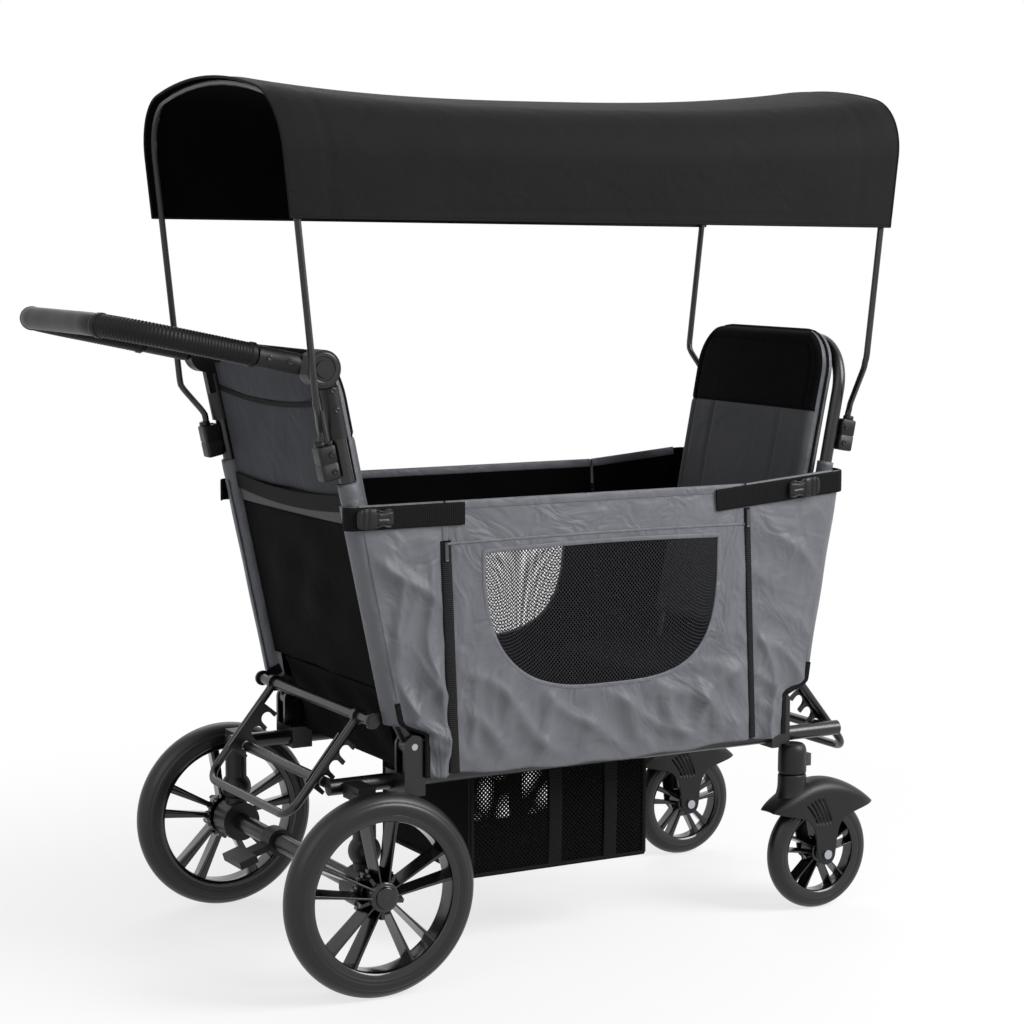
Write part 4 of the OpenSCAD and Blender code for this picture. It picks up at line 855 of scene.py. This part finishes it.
def netWindow():
    # columns from the window's curve to its top, tucked behind the binding and hollow in the middle
    w = windowCut
    run = np.linspace(-1, 1, 90)
    power = np.where(run < 0, *w["power"])
    low = w["top"] - (w["depth"] + w["tuck"]) * unit(1 - np.abs(run) ** power) ** (1 / power)
    t = column(0, 1, 60)
    y = -sideWall["y"] - 2.0 + 3.0 * np.sin(np.pi * t) * (1 - run ** 2)
    return grid(w["x"] + (w["half"] + w["tuck"]) * run, y, low * (1 - t) + (w["top"] + 5) * t)


def wallLine(x, z):  # a line on the right wall
    return grid(x, -sideWall["y"], z)


def wallRib(name, kind, sign, line, mat, slot="fabric_grey", body="chassis", closed=False):
    # a flat rib or tape along a line of the right wall, a little out of it; on the left side it is
    # turned over
    width, thick, out = wallSew[kind]
    path = (line - [0.0, out, 0.0]) * [1.0, -sign, 1.0]
    rib = sweepPiece(name, path, oval(width, thick, 12, 3.0), [0.0, sign, 0.0], mat, closed)
    dress(rib, body, slot, fold=foldDown)


c = sideWall
windowLine = windowEdge(64)
doorX = np.linspace(zipLine(0, c["top"]) + 3, zipLine(1, c["top"]) - 3, 80)
doorSeam = wallLine(doorX, c["seam"] + 2.0 * np.sin(np.linspace(0, np.pi, 80)))
doorLines = {"WindowBinding": ("window", wallLine(*windowLine.T)), "DoorSeam": ("doorSeam", doorSeam),
             "DoorHem": ("hem", wallLine(doorX, c["hem"]))}
for side, sign in sides.items():
    mirror, other = [1.0, -sign, 1.0], side == "left"
    doorBody, panels = side + "_door_body", side + "_corner_panels"
    sheetPiece(side + "DoorCloth", doorWall(windowLine, 64) * mirror, "slate lining", c["thick"], doorBody,
               "fabric_grey", side + "_door", flat=c["doorFlat"], restsOn=[side + "_door"], fold=foldDown,
               form="belt", flip=other, area=c["doorArea"])
    sheetPiece(side + "DoorNet", netWindow() * mirror, "fineNet", 0, doorBody, "mesh_black",
               flat=c["netFlat"], restsOn=[side + "DoorCloth"], fold=foldDown, flip=other, area=c["netArea"])
    for part, (kind, line) in doorLines.items():
        wallRib(side + part, kind, sign, line, "slate", body=doorBody, closed=kind == "window")
    for k, end in enumerate(outSign):
        name, top, wall = side + end.title(), c["zipTop"][k], cornerWall(end)
        sheetPiece(name + "Corner", wall * mirror, "slate lining", c["thick"], "chassis", "fabric_grey",
                   *([panels] if k == 0 else []), flat=c["cornerFlat"], restsOn=[panels], fold=foldDown,
                   flip=(end == "rear") != other, area=c["cornerArea"])
        sheetPiece(name + "Flap", cornerFlap(end) * mirror, "slate lining", c["flapThick"], "chassis",
                   "fabric_grey", flat=c["flapCut"][k], restsOn=[name + "Corner"], fold=foldDown,
                   flip=(end == "front") != other)
        zipZ, seamZ = np.linspace(c["low"] + 2, top, 120), np.linspace(top - 4, c["top"] - 3, 30)
        pull = wallLine(zipLine(k, seamZ[:12]) + 1.0, np.linspace(top - 30, top - 2, 12))
        hem = wallLine(np.linspace(postEdge(end, c["hem"]), zipLine(k, c["hem"]), 40),
                       c["hem"] + np.linspace(c["lift"][k], 0, 40))
        wallRib(name + "Binding", "binding", sign, even(wall[:26, 0], 60), "webbing", "fabric_black")
        wallRib(name + "Zip", end + "Zip", sign, wallLine(zipLine(k, zipZ), zipZ), "zip", "fabric_black")
        wallRib(name + "Seam", "seam", sign, wallLine(zipLine(k, seamZ), seamZ), "slate")
        wallRib(name + "ZipPull", "pull", sign, pull, "greyNylon", "plastic_grey")
        wallRib(name + "Hem", "hem", sign, hem, "slate")
print("side walls, doors, nets and zips made")


# Padded and flat cloth on the two leaning frames
def padPoints(halfLong, halfWide, power, thick, crown, rows=70, cols=70, soft=0.35):
    # a pad in rows along its length, each a ring over its front and back along its back, inside a
    # superellipse; the front has a soft shoulder and a crown, the back is flat
    t = -np.cos(np.linspace(0.02, np.pi - 0.02, rows))[:, None]
    face = np.concatenate([np.ones(cols), np.zeros(cols - 2)])
    eta = np.concatenate([np.sin(np.linspace(-1, 1, cols) * np.pi / 2), np.linspace(1, -1, cols)[1:-1]])
    wide = np.maximum(halfWide * (1 - np.abs(t) ** power) ** (1 / power), 1.0)
    q = (np.abs(t) ** 8 + np.abs(eta) ** 8) ** 0.125
    front = thick / 2 * unit(1 - q ** 7) ** soft + crown * (1 - eta ** 2) * (1 - t ** 2)
    back = -thick / 2 * unit(1 - q ** 9) ** soft
    return halfLong * t + 0 * eta, wide * eta, np.where(face > 0, front, back), q


def groove(line, width, deep):  # a sewn channel: the pad is drawn in along a line
    return -deep * np.exp(-(line / width) ** 2)


backPads = {"rear": {"half": 196.0, "low": 94.0, "split": 462.0, "top": 588.0, "out": 3.0, "thick": 25.0},
            "front": {"half": 181.0, "low": 94.0, "split": 468.0, "top": 600.0, "out": 3.0, "thick": 25.0}}
padSew = {"corner": 72.0, "edge": 15.0, "border": 24.0, "channel": 95.0, "crown": 6.0, "cols": 110,
          "pipeIn": 9.0, "pipe": 4.4, "pipeFrom": 20, "rim": 0.985}


def backPad(c, p):
    # rows up the pad, each a ring over the front and back along the back; the front rounds off at the edge,
    # is crowned in the middle and drawn in along the border seam, two channels and the seam of the head part
    w = np.concatenate([np.linspace(c["low"], c["split"], 100),
                        np.linspace(c["split"], c["top"], 60)[1:]])[:, None]
    eta = np.concatenate([np.sin(np.linspace(-1, 1, p["cols"]) * np.pi / 2),
                          np.linspace(1, -1, 40)[1:-1]])[None, :]
    rise = unit((w - c["top"] + p["corner"]) / p["corner"])
    swell = np.sin(np.pi * (w - c["low"]) / (c["top"] - c["low"]))
    half = c["half"] - p["corner"] * (1 - np.sqrt(1 - rise ** 2)) - 3.0 * swell
    y = half * eta
    inside = np.minimum(np.minimum(half - np.abs(y), c["top"] - w), w - c["low"])
    near = unit(inside / p["edge"])
    shoulder = np.sqrt(unit(1 - (1 - near) ** 2))
    crown = p["crown"] * unit(1 - eta ** 2) * swell
    sewn = groove(inside - p["border"], 2.6, 2.6) + groove(w - c["split"], 3.0, 3.4)
    sewn = sewn + (groove(y - p["channel"], 4.0, 3.4) + groove(y + p["channel"], 4.0, 3.4)) * (w < c["split"])
    front = 1.0 + c["thick"] * shoulder + (crown + sewn) * near
    return y, w + 0 * y, np.where(np.arange(eta.shape[1]) < p["cols"], front, 0.0), eta


def foldPlane(end, out, up, tilt, keep):
    # where a piece is pressed flat in the fold, and the share of depth it keeps
    x, z = framePoint(end, out, up)
    return {"axis": tuple(frameWay(end, tilt).tolist()), "anchor": (x * 0.001, 0.0, z * 0.001), "keep": keep}


# Folded, each back lies flat: the plane is this far out of its frame at this height, and tilts
foldFlat = {"rear": {"out": 38.0, "up": 225.0, "tilt": 0.0524, "keep": 0.12},
            "front": {"out": 5.0, "up": 300.0, "tilt": 0.0, "keep": 0.4}}
# A cloth hangs from the foot of each pad and closes the gap behind the seat; it ripples a little across
backDrop = {"low": 24.0, "lap": 8.0, "fold": -9.0, "keep": 0.3, "half": {"rear": 186.0, "front": 168.0},
            "thick": 1.6}
flatten = {end: foldPlane(end, **plane) for end, plane in foldFlat.items()}
for end, c in backPads.items():
    p, frameBody = padSew, end + "_frame"
    y, w, d, eta = backPad(c, p)
    pad = gridPiece(end + "BackPad", frameGrid(end, y, w, c["out"] - d), "ash padding slate", "solid",
                    end == "rear")
    # slate rim, padded head
    kind = np.where(np.abs(eta) > p["rim"], 2, np.where(w[:-1] > c["split"] - 1, 1, 0))
    pad.data.polygons.foreach_set("material_index", np.append(kind.ravel(), [0, 1]).astype(np.int32))
    dress(pad, frameBody, "fabric_dark", end + "_backrest", fold=flatten[end])
    rows = slice(p["pipeFrom"], None)
    edge = np.concatenate([frameGrid(end, y[rows, k], w[rows, k], c["out"] - p["pipeIn"])[::step]
                           for k, step in ((0, 1), (p["cols"] - 1, -1))])
    pipe = sweepPiece(end + "BackPiping", even(edge, 300), oval(p["pipe"], p["pipe"], 8), frameWay(end),
                      "webbing")
    dress(pipe, frameBody, "fabric_black", fold=flatten[end])
    half, low, high = backDrop["half"][end], backDrop["low"], c["low"] + backDrop["lap"]
    y = np.linspace(-1, 1, 50) * half
    w = column(low, high, 24)
    sheetPiece(end + "BackDrop", frameGrid(end, y, w, 1.2 * np.sin(y * 0.06 + w * 0.02)), "black",
               backDrop["thick"], frameBody, "fabric_black", flat=(0.002 * half, 0.001 * (high - low)),
               held="hung", restsOn=[end + "BackPad"],
               fold=foldPlane(end, backDrop["fold"], low, 0.0, backDrop["keep"]))

# Back of the rear seat: ink cloth above, a webbing band, an ash pocket edge and a black pocket below
rearBack = {"half": 199.0, "out": 13.5, "thick": 2.0, "upper": (376.0, 560.0), "lower": (86.0, 338.0),
            "edge": (332.0, 360.0), "bandHalf": 196.0, "bow": 3.0}


def backSheet(name, low, high, bulge, slack, mat, *replaced, rows=60, flare=0.0):
    # flat at its sides, bulging between them, with slack folds; a flare opens its upper edge
    c = rearBack
    y = np.linspace(-1, 1, 70) * c["half"]
    t = column(0, 1, rows)
    w = low + (high - low) * t + 0 * y
    across = 1 - (y / c["half"]) ** 2
    fold = slack * (np.sin(y * 0.045 + w * 0.03) * np.sin(w * 0.017 + 1.0)
                    + 0.6 * np.sin(y * 0.02 - w * 0.06 + 2.0))
    out = c["out"] + (bulge * np.sin(np.pi * t) ** 0.6 + flare * t ** 4) * across ** 0.6 + fold * across
    sheetPiece(name, frameGrid("rear", y, w, out), mat + " black", c["thick"], "rear_frame", "fabric_black",
               *replaced, flat=(2 * c["half"] * 0.001, (high - low) * 0.001),
               restsOn=["left_rear_post", "right_rear_post"], fold=flatten["rear"])


backSheet("rearBackUpper", *rearBack["upper"], 4.0, 1.2, "ink")
backSheet("rearBackPocket", *rearBack["lower"], 6.0, 2.0, "black", "rear_panel", flare=5.0)
backSheet("rearPocketEdge", *rearBack["edge"], 5.0, 0.6, "ash", rows=16, flare=6.0)
for name, w, dip, wide, out in (("rearBackBand", 372.0, 10.0, 26.0, 18.0),
                                ("rearHeadSeam", 521.0, 12.0, 8.0, 16.0)):
    half = rearBack["bandHalf"]
    y = np.linspace(-half, half, 80)
    across = 1 - (y / half) ** 2
    path = frameGrid("rear", y, w - dip * across, out + rearBack["bow"] * across)
    band = sweepPiece(name, path, oval(wide, 2.6, 14, 5.0), frameWay("rear"), "webbing")
    dress(band, "rear_frame", "fabric_black", fold=flatten["rear"])

# Head flap: a padded cloth over the top of the rear seat back
headFlap = {"half": (178.0, 36.0), "power": 2.6, "thick": 9.0, "crown": 3.0, "w": 548.0, "out": 15.5}
c = headFlap
y, w, d, _ = padPoints(*c["half"], c["power"], c["thick"], c["crown"], rows=120)
flap = gridPiece("rearHeadFlap", frameGrid("rear", y, w + c["w"], c["out"] + d), "ink", "solid")
dress(flap, "rear_frame", "fabric_black", fold=flatten["rear"])

# Sleeves of slate cloth round the posts, above the hinges, with small ripples
sleeves = {"rear": {"wide": 27.6, "low": 42.0, "high": 404.0},
           "front": {"wide": 25.4, "low": 42.0, "high": 392.0}}
sleeveOff = {"out": 16.0, "thick": 1.6, "girth": 0.085}
for side, sign in sides.items():
    for end, c in sleeves.items():
        w = column(c["low"], c["high"], 60)
        a = circle(28)
        r = c["wide"] / 2 + 0.7 * np.sin(w * 0.09 + 2 * a) * np.sin(w * 0.031)
        ring = frameGrid(end, sign * postY[end] + r * np.sin(a), w, sleeveOff["out"] + r * np.cos(a))
        sheetPiece(side + end.title() + "Sleeve", ring, "slate", sleeveOff["thick"], end + "_frame",
                   "fabric_grey", flat=(sleeveOff["girth"], (c["high"] - c["low"]) * 0.001), form="belt",
                   flip=end == "front", restsOn=[side + "_rear_post" if end == "rear" else "front_hoop"])
print("seat backs, rear panel and sleeves made")

# Seat cushions, crowned, with two sewn channels and a drop sheet down to the floor
seats = {"rear": {"x": (-327.0, -197.0), "drop": -213.0}, "front": {"x": (121.0, 339.0), "drop": 137.0}}
seatForm = {"half": 160.0, "power": 6.0, "thick": 27.0, "crown": 7.0, "z": 396.0, "channel": 55.0,
            "dropHalf": 155.0, "dropZ": (309.0, 386.0), "dropThick": 3.0, "dropFlat": (0.31, 0.077)}
for end, c in seats.items():
    f = seatForm
    mid, half = sum(c["x"]) / 2, (c["x"][1] - c["x"][0]) / 2
    x, y, d, q = padPoints(half, f["half"], f["power"], f["thick"], f["crown"], cols=90)
    sewn = groove(y - f["channel"], 4.0, 3.5) + groove(y + f["channel"], 4.0, 3.5)
    d = d + unit(d / 10) * (sewn + groove(q - 0.88, 0.02, 2.0))
    seat = gridPiece(end + "SeatPad", grid(x + mid, y, f["z"] + d), "black", "solid")
    dress(seat, "chassis", "fabric_black", end + "_seat", fold=foldDown)
    y = np.linspace(-f["dropHalf"], f["dropHalf"], 50)
    z = column(*f["dropZ"], 24)
    x = c["drop"] + 1.5 * np.sin(y * 0.04) * np.sin((z - f["dropZ"][0]) * 0.04)
    sheetPiece(end + "SeatDrop", grid(x, y, z), "black", f["dropThick"], "chassis", "fabric_black",
               flat=f["dropFlat"], held="hung", restsOn=[end + "SeatPad"], fold=foldDown)

# Skirt below the rear seat back, from the pocket down to the floor, with soft folds
skirt = {"half": 165.0, "x": -360.0, "run": 40.0, "top": 424.0, "drop": 122.0, "thick": 2.0,
         "flat": (0.33, 0.13)}
c = skirt
y = np.linspace(-c["half"], c["half"], 60)
t = column(0, 1, 30)
x = c["x"] + c["run"] * t ** 0.8 - 3.0 * np.sin(y * 0.05 + 4 * t) * np.sin(np.pi * t)
sheetPiece("rearSkirt", grid(x, y, c["top"] - c["drop"] * t), "black", c["thick"], "chassis", "fabric_black",
           flat=c["flat"], held="hung", restsOn=["floor_board"], fold=foldDown)

# Footwell basket: net sides, black ends and bottom, all hung from the floor and sagging a little
basket = {"x": (-193.0, 117.0), "y": 147.0, "top": 300.0, "low": 115.0, "strap": (-47.0, 53.0), "thick": 1.6,
          "sideFlat": (0.31, 0.185), "endFlat": (0.294, 0.185), "bottomFlat": (0.31, 0.294)}
# section of what is sewn on the basket: width, thickness, points and power
basketSew = {"Strap": (24.0, 2.0, 12, 5.0), "Binding": (7.0, 7.0, 10, 3.0), "Rim": (7.0, 9.0, 10, 3.0),
             "Corner": (8.0, 8.0, 10, 3.0)}


def basketSheet(name, x, y, z, mat, flat, *replaced, flip=False):  # one wall of the basket
    sheetPiece(name, grid(x, y, z), mat, basket["thick"], "chassis", "mesh_black", *replaced, flat=flat,
               held="hung", restsOn=["floor_board"], flip=flip)


def basketTape(name, kind, path, up, closed=False):  # webbing or binding sewn on the basket
    dress(sweepPiece(name, path, oval(*basketSew[kind]), up, "webbing", closed), "chassis", "fabric_black")


c = basket
(rearX, frontX), wideY = c["x"], c["y"]
t = column(0, 1, 40)
down = c["top"] + (c["low"] - c["top"]) * t
x = np.linspace(rearX, frontX, 80)
sag = np.sin(np.pi * ((x - rearX) / (frontX - rearX)))
for side, sign in sides.items():
    y = sign * (wideY + 3.0 * np.sin(np.pi * t) * sag + 0.8 * np.sin(x * 0.08) * t)
    basketSheet(side + "BasketNet", x, y, down - 2.5 * sag * t, "net", c["sideFlat"],
                *(["footwell_basket"] if side == "right" else []), flip=sign > 0)
    for letter, at in zip("AB", c["strap"]):
        bow = 3.0 * np.sin(np.pi * np.linspace(0, 1, 40))
        path = grid(at, sign * (wideY + 2.0 + bow), np.linspace(c["top"] - 1, c["low"] - 1, 40))
        basketTape(side + "BasketStrap" + letter, "Strap", path, [0.0, sign, 0.0])
y = np.linspace(-wideY, wideY, 80)
sag = np.cos(y / wideY * np.pi / 2)
for end, at in zip(outSign, c["x"]):
    basketSheet(end + "BasketEnd", at + outSign[end] * 2.0 * np.sin(np.pi * t) * sag, y, down - 2.0 * sag * t,
                "black", c["endFlat"], flip=end == "rear")
x = column(rearX, frontX, 60)
run = (x - rearX) / (frontX - rearX)
basketSheet("basketBottom", x, y, c["low"] - 2.5 * np.sin(np.pi * run) * sag, "black", c["bottomFlat"])
corners = np.array([[rearX, -wideY], [frontX, -wideY], [frontX, wideY], [rearX, wideY], [rearX, -wideY]])
rim = even(corners, 161)[:-1]
for kind, z in (("Binding", c["low"] + 1.0), ("Rim", c["top"] - 3.0)):
    basketTape("basket" + kind, kind, grid(rim[:, 0], rim[:, 1], z), [0.0, 0.0, 1.0], closed=True)
for letter, (x, y) in zip("ABCD", corners):
    path = grid(x, y, np.linspace(c["top"] - 4, c["low"] + 2, 30))
    basketTape("basketCorner" + letter, "Corner", path, [1.0, 0.0, 0.0])
print("seats and footwell basket made")

# Corner straps of webbing with side-release buckles
strapSet = {"z": 687.0, "y": 236.6, "wide": 34.0, "thick": 2.6, "turn": 14.0, "before": 8.0,
            "past": (34.0, 60.0), "lift": (0.0, 13.0), "buckle": (29.0, 15.0), "buckleAt": (19.0, 60.0),
            "buckleOff": 6.2}


def buckleForm(c):
    # a pad with grooves where its two halves meet, beside the prongs, at the strap's bars and down
    # the middle, and a waist where the prongs show
    u, v, d, _ = padPoints(*c["buckle"], 5.0, 8.0, 1.0, rows=60, cols=40, soft=0.3)
    cut = (groove(u - 2, 1.2, 2.2) + groove(np.abs(v) - 10.5, 1.4, 2.4) * (u > 2) * (u < 26)
           + groove(u + 20, 1.6, 2.4) + groove(u + 12, 1.6, 2.4) + groove(v, 1.6, 1.6) * (u > 4) * (u < 22))
    return u, v * (1 - 0.22 * np.exp(-((u - 11) / 6.5) ** 2)), d + unit(d / 3) * cut


c = strapSet
for side, sign in sides.items():
    for k, end in enumerate(outSign):
        away, name, first = -outSign[end], side + end.title(), (side, end) == ("right", "rear")
        a, b = postEdge(end, c["z"]), zipLine(k, c["z"]) + outSign[end] * 2.0
        x = np.linspace(a - away * c["before"], b + away * c["past"][k], 60)
        y = c["y"] + 0.6 * np.sin((x - a) * 0.05)
        bend = np.linspace(np.pi / 2, 0, 16)[:-1]  # the end turns round the post
        x = np.concatenate([a - away * (c["before"] + c["turn"] * np.sin(bend)), x])
        y = np.concatenate([y[0] - c["turn"] * (1 - np.cos(bend)), y])
        slope = c["lift"][k] / (b - a)  # the front strap climbs to its post
        bend = np.concatenate([bend, np.zeros(60)])
        facing = grid(-away * np.sin(bend), sign * np.cos(bend), 0.0)
        path = grid(x, sign * y, c["z"] + slope * (b - x))
        strap = sweepPiece(name + "Strap", path, oval(c["wide"], c["thick"], 14, 6.0), facing, "webbing")
        dress(strap, "chassis", "fabric_black", *(["corner_straps"] if first else []), fold=foldDown)
        u, v, d = buckleForm(c)
        x = a + away * c["buckleAt"][k] + away * u
        points = grid(x, sign * (c["y"] + c["buckleOff"] + d), c["z"] + slope * (b - x) + v)
        buckle = gridPiece(name + "Buckle", points, "nylon", "solid", sign * away > 0)
        dress(buckle, "chassis", "plastic_grey", *(["strap_buckles"] if first else []), fold=foldDown)
print("straps and buckles made")
